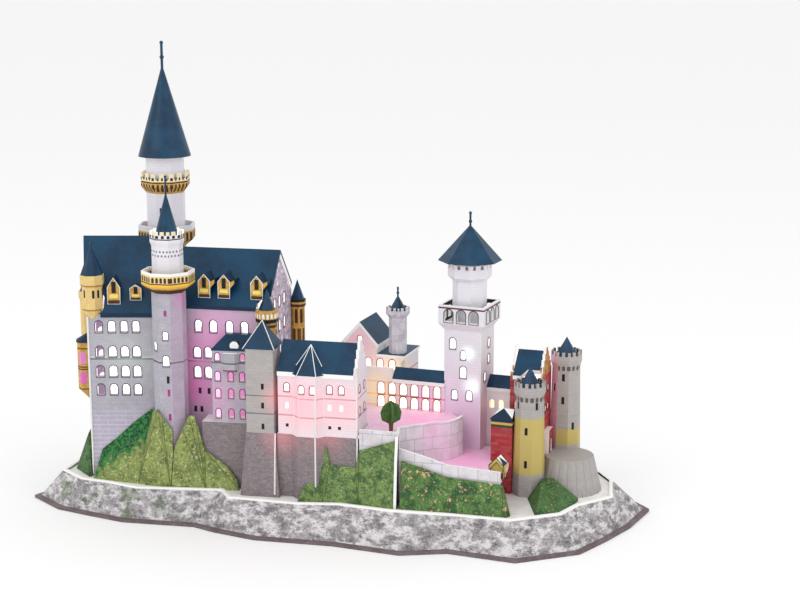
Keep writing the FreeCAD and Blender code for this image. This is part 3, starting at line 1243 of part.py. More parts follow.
def make_courts():
    rooms = court_rooms()
    block_corner = along(BOWER_X, BOWER_Y, BOWER_TURN, BOWER_LEN + 1.8)
    terrace = [(block_corner[0], block_corner[1] - 0.6), (53.5, -87.5)]
    terrace_wall = wall_strip(terrace, DECK_Z, [UPPER_Z + 4.5] * 2)
    bastion = wall_strip([(53.5, -87.5)] + COURT_EDGE, DECK_Z, [UPPER_Z + 3.5] * (len(COURT_EDGE) + 1))
    parapet = wall_strip(PARAPET, DECK_Z, [63.0, 59.0, LOWER_Z + 8.5, LOWER_Z + 7.0])
    bastion = biggest(without(bastion, *rooms))
    parapet = biggest(without(parapet, bastion, *rooms))
    terrace_wall = biggest(without(terrace_wall, bastion, parapet, *rooms))
    north_wall = wall_strip(COURT_NORTH, DECK_Z, [UPPER_Z + 3.5] * 2)
    north_wall = biggest(without(north_wall, *rooms))
    walls = [terrace_wall, bastion, parapet, north_wall]

    upper_plan = [terrace[0], (53.5, -87.5)] + COURT_EDGE + [(77.0, -10.0), (60.0, 2.0), (30.0, 20.0)]
    upper_plan += COURT_NORTH + [(-60.0, -50.0), (-20.0, -70.0)]
    upper = prism(upper_plan, UPPER_Z - CARD, UPPER_Z)
    upper = biggest(without(upper, *walls, *rooms))
    lower_plan = [(66.0, -87.0)] + PARAPET[2:] + [(127.5, -64.0), (127.5, -20.0), (100.0, -12.0),
                                                  (60.0, -50.0)]
    outside = prism([(53.5, -87.5)] + COURT_EDGE + [(60.0, 0.0), (0.0, 0.0), (0.0, -87.5)], DECK_Z, 200)
    lower = prism(lower_plan, LOWER_Z - CARD, LOWER_Z)
    lower = biggest(without(lower, outside, *walls, *rooms))
    save(group([upper, lower]), "court_floors")
    save(group(walls), "court_walls")

    rib = panel([(0, DECK_Z), (11.0, DECK_Z), (11.0, UPPER_Z + 2.0), (9.0, UPPER_Z + 2.0),
                 (4.5, UPPER_Z - 14)],
                [], CARD)
    rib = stood(rib, 53.0, -98.8, 88.0)
    save(biggest(without(rib, *walls)), "ridge_rib")

    crown = [(-1.2, 0), (1.2, 0), (1.6, 6), (6.5, 8.5), (7.5, 14), (5.5, 19), (0, 22.5), (-5.5, 19),
             (-7.5, 14), (-6.5, 8.5), (-1.6, 6)]
    outline = [(s, z + UPPER_Z) for s, z in crown]
    tree = stood(panel(outline, [], THIN), 0, -THIN / 2)
    other = stood(panel(outline, [], THIN), 0, 0, 90)
    other.translate(V(THIN / 2, 0, 0))
    half = UPPER_Z + 11.0
    lower_slot = Part.makeBox(THIN + 2 * FIT, 9, 12, V(-THIN / 2 - FIT, -4.5, half - 12))
    upper_slot = Part.makeBox(9, THIN + 2 * FIT, 14, V(-4.5, -THIN / 2 - FIT, half))
    trees = group([tree.cut(lower_slot), other.cut(upper_slot)])
    save(stood(trees, 45.5, -70.5, 20.0), "court_trees")


# Gatehouse

def gate_frame(shape):
    return stood(shape, GATE_X, GATE_Y, GATE_TURN)


def gate_core(extra):
    low = -extra
    return gate_frame(prism([(low, low), (GATE_LEN - low, low), (GATE_LEN - low, GATE_DEPTH - low),
                             (low, GATE_DEPTH - low)], DECK_Z - 1, GATE_RIDGE + 10))


def gate_tower_cores():
    """The room each gate tower takes up: a tapering shaft and the crown over it."""
    cores = []
    for x, y, top in ((SOUTH_GATE_X, SOUTH_GATE_Y, SOUTH_GATE_TOP),
                      (NORTH_GATE_X, NORTH_GATE_Y, NORTH_GATE_TOP)):
        shaft = frustum(8, GATE_FOOT_AF, DECK_Z, GATE_TOWER_AF, top - GATE_CROWN_H)
        crown = cap(8, GATE_CROWN_AF + 2 * FIT, top - GATE_CROWN_H, top + 20)
        cores.append(stood(shaft.fuse(crown), x, y, GATE_TURN))
    return cores


ANNEX_GATE = (114.0, -50.0, -12.0)
ANNEX_GATE_LEN = 15.5
ANNEX_GATE_DEPTH = 12.0
ANNEX_GATE_EAVE = 76.0


def annex_gate_core():
    plan = [(0, 0), (ANNEX_GATE_LEN, 0), (ANNEX_GATE_LEN, ANNEX_GATE_DEPTH), (0, ANNEX_GATE_DEPTH)]
    return stood(prism(plan, DECK_Z - 1, ANNEX_GATE_EAVE), *ANNEX_GATE)


def gate_tower(top, windows):
    """A tapering folded tower with a crown; windows are (face direction, along, height)."""
    neck = top - GATE_CROWN_H
    shaft = sleeve(8, GATE_FOOT_AF, DECK_Z, GATE_TOWER_AF, neck, CARD)
    rim = frustum(8, GATE_TOWER_AF, neck, GATE_CROWN_AF, neck + 3.5)
    head = cap(8, GATE_CROWN_AF, neck + 3.5, top)
    bowl = cap(8, GATE_CROWN_AF - 2 * THIN, top - 4.0, top + 1)
    well = cap(8, GATE_TOWER_AF - 2 * CARD, neck - 1, neck + 3.0)
    crown = fused([rim, head]).cut(bowl)
    crown = crown.cut(notches(8, GATE_CROWN_AF, THIN, top - 3.0, 3.0, 2.2))
    body = fused([shaft, crown.cut(well)])
    for turn, s, z in windows:
        lean = (GATE_FOOT_AF - GATE_TOWER_AF) / 2 * (top - GATE_CROWN_H - z) / (top - GATE_CROWN_H - DECK_Z)
        face = along(0, 0, turn - 90, GATE_TOWER_AF / 2 + lean)
        body = body.cut(openings(face, turn, [(s, z, SLIT_W, SLIT_H + 1)], True))
    return body


def make_gatehouse():
    outline = [(0, 0), (GATE_LEN, 0), (GATE_LEN, GATE_DEPTH), (0, GATE_DEPTH)]
    walls = prism(outline, DECK_Z, GATE_EAVE).cut(prism(inset(outline, CARD), 0, 300))
    steps = [(0.0, GATE_EAVE)]
    count = 5
    rise = (GATE_RIDGE - GATE_EAVE + 5.5) / count
    tread = GATE_DEPTH / 2 / count
    for k in range(count):
        steps += [(tread * k, GATE_EAVE + rise * (k + 1)), (tread * (k + 1), GATE_EAVE + rise * (k + 1))]
    steps += [(GATE_DEPTH - t, z) for t, z in reversed(steps[:-1])]
    gable = Part.Face(Part.makePolygon([V(0, t, z) for t, z in steps + [steps[0]]])).extrude(V(CARD, 0, 0))
    other = gable.copy()
    other.translate(V(GATE_LEN - CARD, 0, 0))
    porch = prism([(GATE_LEN, 9.0), (GATE_LEN + 4.0, 9.0), (GATE_LEN + 4.0, 21.0), (GATE_LEN, 21.0)],
                  BASTION_TOP, BASTION_TOP + 17.0)
    door = openings((GATE_LEN + 3.0, 15.0), 90, [(0.0, BASTION_TOP + 5.4, 6.0, 10.6)])
    door.translate(V(1.5, 0, 0))
    walls = fused([walls, gable, other, porch]).cut(door)
    holes = [(s, z, 3.0, 5.0) for s in (5.0, 11.5) for z in (95.0, 84.0)]
    walls = walls.cut(openings((0, 0), 0, holes))
    side = [(s, z, 3.0, 5.0) for s in (11.0, 19.0) for z in (94.0, 80.0)]
    walls = walls.cut(openings((GATE_LEN, 0), 90, side))
    walls = walls.cut(openings((GATE_LEN, GATE_DEPTH), 180, holes))
    towers = gate_tower_cores()
    walls = biggest(without(gate_frame(walls), *towers))
    save(walls, "gatehouse_walls")
    roof = gable_roof(CARD, GATE_LEN - CARD, GATE_DEPTH, GATE_EAVE, GATE_RIDGE, 1.2)
    save(biggest(without(gate_frame(roof), *towers)), "gatehouse_roof")

    south = gate_tower(SOUTH_GATE_TOP, [(-45, 0.0, 88.0), (0, 0.0, 70.0), (45, 0.0, 88.0), (0, 0.0, 46.0)])
    north = gate_tower(NORTH_GATE_TOP, [(0, 0.0, 100.0), (0, 0.0, 83.0), (-45, 0.0, 92.0), (45, 0.0, 64.0)])
    save(group([stood(south, SOUTH_GATE_X, SOUTH_GATE_Y, GATE_TURN),
                stood(north, NORTH_GATE_X, NORTH_GATE_Y, GATE_TURN)]), "gate_towers")

    plan = [(0, 0), (ANNEX_GATE_LEN, 0), (ANNEX_GATE_LEN, ANNEX_GATE_DEPTH), (0, ANNEX_GATE_DEPTH)]
    box = prism(plan, DECK_Z, ANNEX_GATE_EAVE).cut(prism(inset(plan, CARD), 0, ANNEX_GATE_EAVE - CARD))
    top = ANNEX_GATE_EAVE
    over = 0.8
    a = (-over, -over, top)
    b = (ANNEX_GATE_LEN, -over, top)
    c = (ANNEX_GATE_LEN, ANNEX_GATE_DEPTH, top)
    d = (-over, ANNEX_GATE_DEPTH, top)
    peak = (5.0, 6.0, top + 7.0)
    end = (ANNEX_GATE_LEN, 6.0, top + 7.0)
    hood = closed([[a, b, c, d], [a, b, end, peak], [b, c, end], [c, d, peak, end], [d, a, peak]])
    house = stood(fused([box, hood]), *ANNEX_GATE)
    house = biggest(without(house, gate_core(0.0), *towers))
    lodge_plan = [(0, 0), (8.4, 0), (8.4, 8.0), (0, 8.0)]
    lodge = prism(lodge_plan, LOWER_Z, LOWER_Z + 7.5)
    lodge_roof = gable_roof(-0.8, 8.8, 8.4, LOWER_Z + 7.5, LOWER_Z + 12.0, 0.8)
    attic = Part.Face(Part.makePolygon([V(0, 0, LOWER_Z + 7.5), V(0, 8.4, LOWER_Z + 7.5),
                                        V(0, 4.2, LOWER_Z + 12.0),
                                        V(0, 0, LOWER_Z + 7.5)])).extrude(V(8.0, 0, 0))
    hat = fused([lodge_roof, attic])
    hat.rotate(V(0, 0, 0), UP, 90)
    hat.translate(V(8.4, 0, 0))
    small = stood(fused([lodge, hat]), 117.5, -88.5, -14.0)
    save(group([house, small]), "gate_annex")

    sides = 20
    low = DECK_Z
    outer = frustum(sides, 2 * (BASTION_R + BASTION_BATTER), low, 2 * BASTION_R, BASTION_TOP)
    inner = frustum(sides, 2 * (BASTION_R + BASTION_BATTER - CARD), low - 0.01, 2 * (BASTION_R - CARD),
                    BASTION_TOP - CARD)
    bastion = stood(outer.cut(inner), BASTION_X, BASTION_Y)
    porch_room = gate_frame(prism([(GATE_LEN, 9.0), (GATE_LEN + 4.0, 9.0), (GATE_LEN + 4.0, 21.0),
                                   (GATE_LEN, 21.0)],
                                  BASTION_TOP, BASTION_TOP + 17.0))
    bastion = biggest(without(bastion, gate_core(0.0), porch_room, *towers))
    save(bastion, "round_bastion")


def make_turret_roofs(hall_turret):
    roofs = []
    sizes = ((CORNER_AF * 1.1, 22.0, 0.9), (11.0, 15.0, 0.0), (9.6, 15.0, 0.0), (10.6, 18.0, 0.8))
    for (place, turn, _, _, top, _), (wide, height, pin) in zip(corner_turrets(), sizes):
        roof = frustum(8, wide, top, 0, top + height)
        if pin:
            roof = fused([roof, finial(top + height - 1.2, 2.6, pin)])
        roofs.append(biggest(stood(roof, place[0], place[1], turn).cut(palace_core(EAST_EAVE))))
    low = HALL_TURRET_TOP - 3
    point = fused([frustum(8, HALL_TURRET_AF, low, 0, low + HALL_SPIRE_H),
                   finial(low + HALL_SPIRE_H - 1.0, HALL_PIN_H, 1.1)])
    roofs.append(stood(point, *hall_turret))
    for x, y, top in ((SOUTH_GATE_X, SOUTH_GATE_Y, SOUTH_GATE_TOP),
                      (NORTH_GATE_X, NORTH_GATE_Y, NORTH_GATE_TOP)):
        roofs.append(stood(frustum(8, GATE_ROOF_AF, top - 4.0, 0, top - 4.0 + GATE_ROOF_H), x, y,
                           GATE_TURN))
    save(group(roofs), "turret_roofs")


# Hills: folded and printed card leaning on the walls

HILL_DROP = (0.0, 1.5, -1.2)


def make_hills(rooms):
    west_points = [(-176.0, -62.0, 22), (-170.5, -54.8, 43), (-161.0, -53.6, 50.5), (-147.5, -51.8, 63),
                   (-134.0, -50.4, 73.5), (-123.2, -71.0, 79.0), (-119.0, -75.0, 76), (-111.6, -74.4, 65),
                   (-111.6, -74.6, 50), (-114.0, -75.0, 22), (-140.0, -68.5, 22)]
    west_folds = [(0, 10, 1), (1, 10, 2), (2, 10, 3), (3, 10, 4), (4, 10, 5), (5, 10, 9), (5, 9, 6),
                  (6, 9, 8), (6, 8, 7)]
    east_points = [(-113.6, -75.0, 22), (-88.0, -74.4, 22), (-64.0, -73.2, 22), (-66.0, -70.6, 29),
                   (-73.0, -70.3, 38.5), (-89.5, -70.1, 50.5), (-96.0, -70.0, 75.5), (-100.6, -70.0, 75.5),
                   (-104.5, -73.6, 66), (-110.6, -74.8, 52)]
    east_folds = [(0, 1, 9), (9, 1, 8), (8, 1, 7), (7, 1, 6), (6, 1, 5), (5, 1, 2), (5, 2, 4), (4, 2, 3)]
    left = sheet(west_points, west_folds, HILL_DROP)
    right = sheet(east_points, east_folds, HILL_DROP)
    inside = prism(inset([pair[1] for pair in RIM], CARD + FIT), DECK_Z, 200)
    left = biggest(without(left, *rooms).common(inside))
    right = biggest(without(right, left, *rooms).common(inside))
    save(group([left, right]), "palace_hills")

    slope = sheet([(-180.5, -58.0, 22), (-196.5, -40.0, 22), (-197.5, 8.0, 22), (-193.0, 6.0, 52),
                   (-182.6, -50.0, 53)],
                  [(0, 1, 4), (1, 2, 3), (1, 3, 4)], (1.6, 0.6, -0.8))
    save(biggest(without(slope, *rooms).common(inside)), "west_slope")

    bower = sheet([(-18.0, -91.0, 22), (0.0, -91.6, 22), (25.5, -94.0, 22), (51.0, -98.0, 22),
                   (51.5, -88.8, 69), (25.5, -85.9, 60), (22.5, -84.9, 47), (4.5, -83.3, 48),
                   (1.5, -83.4, 62), (-1.5, -83.4, 50), (-6.0, -84.0, 38), (-14.0, -88.8, 32)],
                  [(0, 1, 11), (1, 10, 11), (1, 9, 10), (1, 7, 9), (9, 7, 8), (1, 2, 7), (2, 6, 7),
                   (2, 5, 6), (2, 3, 5),
                   (3, 4, 5)], HILL_DROP)
    save(biggest(without(bower, *rooms).common(inside)), "bower_hill")

    court = sheet([(55.5, -98.6, 22), (90.0, -102.2, 22), (127.0, -106.6, 22), (132.0, -99.5, 22),
                   (126.5, -98.6, 44),
                   (88.0, -92.4, 45.5), (70.0, -90.4, 51), (55.5, -89.6, 55)],
                  [(0, 1, 6), (0, 6, 7), (1, 5, 6), (1, 2, 5), (2, 4, 5), (2, 3, 4)], HILL_DROP)
    save(biggest(without(court, *rooms).common(inside)), "court_slope")

    gate = sheet([(128.0, -96.5, 44), (128.0, -78.0, 41), (130.5, -63.0, 29), (141.5, -62.0, 22),
                  (151.0, -58.5, 36), (159.0, -58.5, 37), (177.0, -62.5, 24), (132.0, -107.0, 22),
                  (149.0, -98.5, 22), (164.5, -90.5, 22), (174.5, -73.5, 22)],
                 [(0, 7, 1), (1, 7, 2), (2, 7, 8), (2, 8, 3), (3, 8, 4), (4, 8, 9), (4, 9, 5), (5, 9, 6),
                  (6, 9, 10)],
                 HILL_DROP)
    save(biggest(without(gate, *rooms).common(inside)), "gate_hill")

    north = sheet([(164.0, 46.0, 22), (116.0, 88.0, 22), (55.0, 104.5, 22), (-17.0, 106.5, 22),
                   (-93.0, 97.0, 22), (-156.0, 74.0, 22), (-196.0, 30.0, 22), (-188.0, 17.0, 48),
                   (-120.0, 26.0, 60), (-44.0, 21.0, 62), (-2.0, 33.0, 60), (8.0, 50.0, 58),
                   (60.0, 39.0, 54), (98.0, 11.0, 50), (150.0, -2.0, 42)],
                  [(0, 1, 14), (1, 13, 14), (1, 12, 13), (1, 2, 12), (2, 11, 12), (2, 3, 11), (3, 10, 11),
                   (3, 9, 10),
                   (3, 4, 9), (4, 8, 9), (4, 5, 8), (5, 7, 8), (5, 6, 7)], (0.0, -1.5, -1.2))
    save(biggest(without(north, *rooms).common(inside)), "north_slope")


def hill_rooms():
    base = annex_frame(prism([(-ANNEX_BASE_OUT, -0.8), (ANNEX_LEN + 8, -0.8), (ANNEX_LEN + 8, 30),
                              (-ANNEX_BASE_OUT, 30)], DECK_Z - 1, UPPER_Z + 1))
    foot = bower_tower_frame(frustum(4, BOWER_TOWER_FOOT, DECK_Z, BOWER_TOWER_SIDE + 0.6, BOWER_BASE_Z))
    edge = wall_strip(PARAPET, DECK_Z, [63.0, 59.0, LOWER_Z + 8.5, LOWER_Z + 7.0], 12.0)
    block_corner = along(BOWER_X, BOWER_Y, BOWER_TURN, BOWER_LEN + 1.8)
    terrace = wall_strip([(block_corner[0], block_corner[1] - 0.6), (53.5, -87.5)], DECK_Z, [UPPER_Z] * 2,
                         8.0)
    rib = stood(Part.makeBox(16, CARD + 0.6, 80, V(-2, -0.3, DECK_Z)), 53.0, -98.8, 88.0)
    bastion = stood(frustum(20, 2 * (BASTION_R + BASTION_BATTER), DECK_Z, 2 * BASTION_R, BASTION_TOP),
                    BASTION_X, BASTION_Y)
    north_wall = wall_strip(COURT_NORTH, DECK_Z, [UPPER_Z] * 2, 8.0)
    floor = prism([(66.0, -87.0)] + PARAPET[2:] + [(127.5, -64.0), (127.5, -20.0), (60.0, -50.0)],
                  DECK_Z - 1, LOWER_Z)
    return court_rooms() + [base, foot, edge, terrace, rib, bastion, north_wall, floor, stair_core(0.0),
                            main_tower_core(0.0)]


os.makedirs("parts", exist_ok=True)
rim_heads = make_base()
make_ribs(rim_heads)
make_battery_box()
make_lamps()
make_palace_walls()
make_palace_roofs()
make_corner_turrets()
make_dormers()
make_west_bay()
make_stair_turret()
make_main_tower()
make_annex()
make_bower_tower()
make_bower()
turret_place = make_hall()
make_galleries()
make_square_tower()
make_courts()
make_gatehouse()
make_turret_roofs(turret_place)
make_hills(hill_rooms())
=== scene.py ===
import math

import bmesh
import bpy
from bpy.props import FloatProperty, FloatVectorProperty, PointerProperty
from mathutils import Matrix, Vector


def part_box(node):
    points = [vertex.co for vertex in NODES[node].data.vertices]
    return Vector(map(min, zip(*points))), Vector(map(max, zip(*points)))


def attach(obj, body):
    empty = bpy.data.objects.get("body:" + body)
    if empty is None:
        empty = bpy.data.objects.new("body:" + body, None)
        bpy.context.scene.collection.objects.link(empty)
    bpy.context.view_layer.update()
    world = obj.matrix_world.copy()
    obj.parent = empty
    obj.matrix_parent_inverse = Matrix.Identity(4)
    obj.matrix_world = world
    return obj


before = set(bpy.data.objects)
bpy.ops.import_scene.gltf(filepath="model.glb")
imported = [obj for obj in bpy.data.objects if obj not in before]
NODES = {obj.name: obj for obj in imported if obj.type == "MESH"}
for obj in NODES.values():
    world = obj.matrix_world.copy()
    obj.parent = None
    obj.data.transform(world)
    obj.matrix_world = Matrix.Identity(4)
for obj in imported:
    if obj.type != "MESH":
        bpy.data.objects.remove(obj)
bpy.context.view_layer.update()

bl_info = {
    "name": "Card castle",
    "version": (1, 0, 0),
    "blender": (4, 5, 0),
    "location": "View3D > Sidebar > Castle",
    "description": "Printed finishes, window outlines, fold lines and lamps of a foam card castle",
    "category": "Object",
}

MM = 0.001
BLACK = (0.0, 0.0, 0.0, 1.0)
WHITE = (1.0, 1.0, 1.0, 1.0)


def paint(red, green, blue):
    """A print colour given as 0 to 255, as linear colour with alpha."""
    def linear(value):
        value /= 255.0
        return value / 12.92 if value <= 0.04045 else ((value + 0.055) / 1.055) ** 2.4
    return (linear(red), linear(green), linear(blue), 1.0)


def colour(words, *rgb):
    return FloatVectorProperty(name=words, description="Print colour", subtype="COLOR", size=4,
                               min=0.0, max=1.0, default=paint(*rgb))


class CastleColours(bpy.types.PropertyGroup):
    foam: colour("Foam edge", 244, 243, 240)
    stone: colour("Palace stone", 178, 174, 184)
    stone_deep: colour("Palace stone, darker", 160, 156, 168)
    rubble: colour("Rubble base", 140, 127, 130)
    rubble_deep: colour("Rubble base, darker", 104, 94, 98)
    white_stone: colour("Tower stone", 226, 223, 230)
    grey_stone: colour("Bower tower stone", 168, 163, 160)
    roof: colour("Roof slate", 8, 66, 98)
    roof_deep: colour("Roof slate, darker", 4, 42, 68)
    ochre: colour("Ochre stone", 222, 184, 96)
    ochre_deep: colour("Ochre stone, darker", 176, 124, 48)
    brown: colour("Brown trim", 74, 42, 26)
    string: colour("String course", 74, 92, 88)
    # ink also paints the unlit insides of towers near-black: painted shade.
    ink: colour("Printed openings", 22, 20, 24)
    line: colour("Window outline", 108, 92, 112)
    grass: colour("Light grass", 150, 164, 92)
    grass_deep: colour("Dark grass", 60, 92, 44)
    bush: colour("Bushes", 24, 74, 38)
    rock: colour("Rock", 172, 168, 170)
    rock_deep: colour("Rock, darker", 96, 92, 96)
    board: colour("Base board", 96, 80, 80)
    red: colour("Gatehouse red", 176, 24, 36)
    red_deep: colour("Gatehouse red, darker", 146, 14, 22)
    salmon: colour("Red-brown string", 214, 110, 104)
    gold: colour("Gatehouse yellow", 196, 176, 96)
    honey: colour("Honey band", 240, 188, 70)
    dot: colour("Printed dots", 120, 112, 120)
    corbel: colour("Corbel shadow", 96, 84, 76)
    pink: colour("Pink lamp light", 250, 140, 210)
    magenta: colour("Magenta lamp light", 226, 84, 178)
    pale_pink: colour("Pale pink lamp light", 255, 214, 240)
    rose: colour("Rose lamp light", 255, 150, 160)
    warm: colour("Warm lamp light", 255, 226, 150)
    cool: colour("Cool lamp light", 240, 255, 250)


class CastleSizes(bpy.types.PropertyGroup):
    outline: FloatProperty(name="Window outline", description="Width of the printed window outlines",
                           default=0.75 * MM, min=0.0, unit="LENGTH")
    fold: FloatProperty(name="Fold line", description="Width of the scored fold lines",
                        default=0.4 * MM, min=0.0, unit="LENGTH")
    lamp: FloatProperty(name="Lamp strength", description="How bright the rooms look",
                        default=1.0, min=0.0)


# Shader building

FLAT = (0.97, 0.99)        # how level a face is when it counts as a floor
FACING = (0.25, 0.4)       # how far a face looks outwards when it counts as an outer one
SQUARENESS = 6.0           # how sharply a square building's corners part its sides
PAPER = 0.35               # millimetres: grain of the paper
ARCH_SOFT = 0.12           # millimetres: soft edge of printed arches and bands

class Net:
    """Short ways to add nodes to one shader tree."""

    def __init__(self, tree):
        self.tree = tree

    def add(self, kind, **settings):
        node = self.tree.nodes.new(kind)
        for key, value in settings.items():
            setattr(node, key, value)
        return node

    def feed(self, socket, value):
        if isinstance(value, bpy.types.NodeSocket):
            self.tree.links.new(value, socket)
        else:
            socket.default_value = value

    def maths(self, operation, *values, clamp=False):
        node = self.add("ShaderNodeMath", operation=operation, use_clamp=clamp)
        for socket, value in zip(node.inputs, values):
            self.feed(socket, value)
        return node.outputs[0]

    def times(self, *values):
        result = values[0]
        for value in values[1:]:
            result = self.maths("MULTIPLY", result, value)
        return result

    def flip(self, value):
        return self.maths("SUBTRACT", 1.0, value, clamp=True)

    def either(self, first, *others):
        for other in others:
            first = self.maths("MAXIMUM", first, other)
        return first

    def step(self, value, low, high):
        """0 below low, 1 above high, smooth between."""
        node = self.add("ShaderNodeMapRange", interpolation_type="SMOOTHSTEP")
        self.feed(node.inputs["Value"], value)
        self.feed(node.inputs["From Min"], low)
        self.feed(node.inputs["From Max"], high)
        return node.outputs[0]

    def spread(self, value, low, high, start, end):
        node = self.add("ShaderNodeMapRange")
        for name, what in zip(("Value", "From Min", "From Max", "To Min", "To Max"),
                              (value, low, high, start, end)):
            self.feed(node.inputs[name], what)
        return node.outputs[0]

    def vector(self, operation, *values):
        node = self.add("ShaderNodeVectorMath", operation=operation)
        for socket, value in zip(node.inputs, values):
            self.feed(socket, value)
        return node.outputs["Value" if operation in ("LENGTH", "DISTANCE", "DOT_PRODUCT") else "Vector"]

    def scaled(self, vector, factor):
        node = self.add("ShaderNodeVectorMath", operation="SCALE")
        self.feed(node.inputs[0], vector)
        self.feed(node.inputs["Scale"], factor)
        return node.outputs[0]

    def split(self, vector):
        node = self.add("ShaderNodeSeparateXYZ")
        self.feed(node.inputs[0], vector)
        return node.outputs

    def join(self, x, y, z):
        node = self.add("ShaderNodeCombineXYZ")
        for socket, value in zip(node.inputs, (x, y, z)):
            self.feed(socket, value)
        return node.outputs[0]

    def turned(self, vector, angle):
        node = self.add("ShaderNodeVectorRotate", rotation_type="Z_AXIS")
        self.feed(node.inputs["Vector"], vector)
        self.feed(node.inputs["Angle"], angle)
        return node.outputs[0]

    def mix(self, mask, first, second):
        node = self.add("ShaderNodeMix", data_type="RGBA")
        for index, value in ((0, mask), (6, first), (7, second)):
            self.feed(node.inputs[index], value)
        return node.outputs[2]

    def noise(self, vector, size, detail=2.0, roughness=0.5):
        """Fractal noise with features of about the given size, in the vector's unit."""
        node = self.add("ShaderNodeTexNoise")
        self.feed(node.inputs["Vector"], vector)
        self.feed(node.inputs["Scale"], self.maths("DIVIDE", 1.0, size))
        self.feed(node.inputs["Detail"], detail)
        self.feed(node.inputs["Roughness"], roughness)
        return node.outputs[0]

    def cells(self, vector, size):
        node = self.add("ShaderNodeTexVoronoi")
        self.feed(node.inputs["Vector"], vector)
        self.feed(node.inputs["Scale"], self.maths("DIVIDE", 1.0, size))
        return node.outputs

    def use(self, group, **values):
        node = self.add("ShaderNodeGroup")
        node.node_tree = group
        for key, value in values.items():
            self.feed(node.inputs[key.replace("_", " ")], value)
        return node.outputs


def shader_group(name, inputs, outputs, build):
    """A shader node group, built the first time it is asked for. Its sockets are given as words
    with commas between: a value's name, or a vector's with a star."""
    if name in bpy.data.node_groups:
        return bpy.data.node_groups[name]
    tree = bpy.data.node_groups.new(name, "ShaderNodeTree")
    for words, side in ((inputs, "INPUT"), (outputs, "OUTPUT")):
        for key in words.split(", "):
            kind = "NodeSocketVector" if key.endswith("*") else "NodeSocketFloat"
            tree.interface.new_socket(name=key.rstrip("*"), in_out=side, socket_type=kind)
    net = Net(tree)
    source = net.add("NodeGroupInput").outputs
    target = net.add("NodeGroupOutput").inputs
    for key, value in build(net, source).items():
        net.feed(target[key], value)
    return tree


def card_place():
    """Where a point lies on the card: millimetres, and a flat spot that follows each face."""
    def build(net, source):
        point = net.scaled(net.add("ShaderNodeTexCoord").outputs["Object"], 1000.0)
        normal = net.add("ShaderNodeNewGeometry").outputs["True Normal"]
        local = net.vector("SUBTRACT", point, source["Middle"])
        side = net.vector("NORMALIZE", net.vector("CROSS_PRODUCT", (0.0, 0.0, 1.0), normal))
        height = net.split(point)[2]
        level = net.maths("ABSOLUTE", net.split(normal)[2])
        flat = net.step(level, *FLAT)
        x, y, _ = net.split(local)
        along = net.vector("DOT_PRODUCT", local, side)
        across = net.maths("ADD", along, net.times(flat, x))
        upward = net.maths("ADD", net.times(height, net.flip(flat)), net.times(flat, y))
        return {"Point": point, "Local": local, "Normal": normal, "Height": height, "Level": level,
                "Along": along, "Spot": net.join(across, upward, 0.0)}
    outputs = "Point*, Local*, Normal*, Height, Level, Along, Spot*"
    return shader_group("card place", "Middle*", outputs, build)


def building_sides():
    """Tells a building's outer faces, its inner faces and the cut edges of the card apart."""
    def build(net, source):
        local = net.turned(source["Local"], net.maths("MULTIPLY", source["Turn"], -1.0))
        normal = net.turned(source["Normal"], net.maths("MULTIPLY", source["Turn"], -1.0))
        x, y, _ = net.split(local)
        power = net.maths("MULTIPLY", source["Square"], SQUARENESS)
        parts = []
        for value, half in ((x, source["Half Length"]), (y, source["Half Depth"])):
            share = net.maths("DIVIDE", value, half)
            size = net.maths("POWER", net.maths("MAXIMUM", net.maths("ABSOLUTE", share), 0.001), power)
            parts.append(net.times(share, size))
        outwards = net.vector("NORMALIZE", net.join(parts[0], parts[1], 0.0))
        facing = net.vector("DOT_PRODUCT", outwards, normal)
        outside = net.step(facing, *FACING)
        inside = net.step(facing, -FACING[0], -FACING[1])
        cut = net.flip(net.maths("ADD", outside, inside))
        return {"Outside": outside, "Inside": inside, "Cut": cut}
    inputs = "Local*, Normal*, Half Length, Half Depth, Turn, Square"
    outputs = "Outside, Inside, Cut"
    return shader_group("building sides", inputs, outputs, build)


def glow_spot():
    """Light of one lamp on the card around it."""
    def build(net, source):
        away = net.vector("DISTANCE", source["Point"], source["Lamp"])
        near = net.flip(net.maths("DIVIDE", away, source["Reach"]))
        return {"Glow": net.times(near, near)}
    inputs = "Point*, Lamp*, Reach"
    return shader_group("glow spot", inputs, "Glow", build)


def print_band():
    """A printed band between two heights."""
    def build(net, source):
        soft = source["Soft"]
        above = net.step(source["Height"], net.maths("SUBTRACT", source["Low"], soft),
                         net.maths("ADD", source["Low"], soft))
        below = net.step(source["Height"], net.maths("ADD", source["High"], soft),
                         net.maths("SUBTRACT", source["High"], soft))
        return {"Band": net.times(above, below)}
    inputs = "Height, Low, High, Soft"
    return shader_group("print band", inputs, "Band", build)


def print_grain():
    """Uneven ink: slow patches and fine specks."""
    def build(net, source):
        patches = net.noise(source["Place"], source["Patch"], 3.0, 0.6)
        specks = net.noise(source["Place"], source["Speck"], 2.0, 0.7)
        paper = net.noise(source["Place"], PAPER, 2.0, 0.6)
        return {"Patches": net.step(patches, 0.35, 0.65), "Specks": net.step(specks, 0.36, 0.66),
                "Paper": paper}
    inputs = "Place*, Patch, Speck"
    outputs = "Patches, Specks, Paper"
    return shader_group("print grain", inputs, outputs, build)


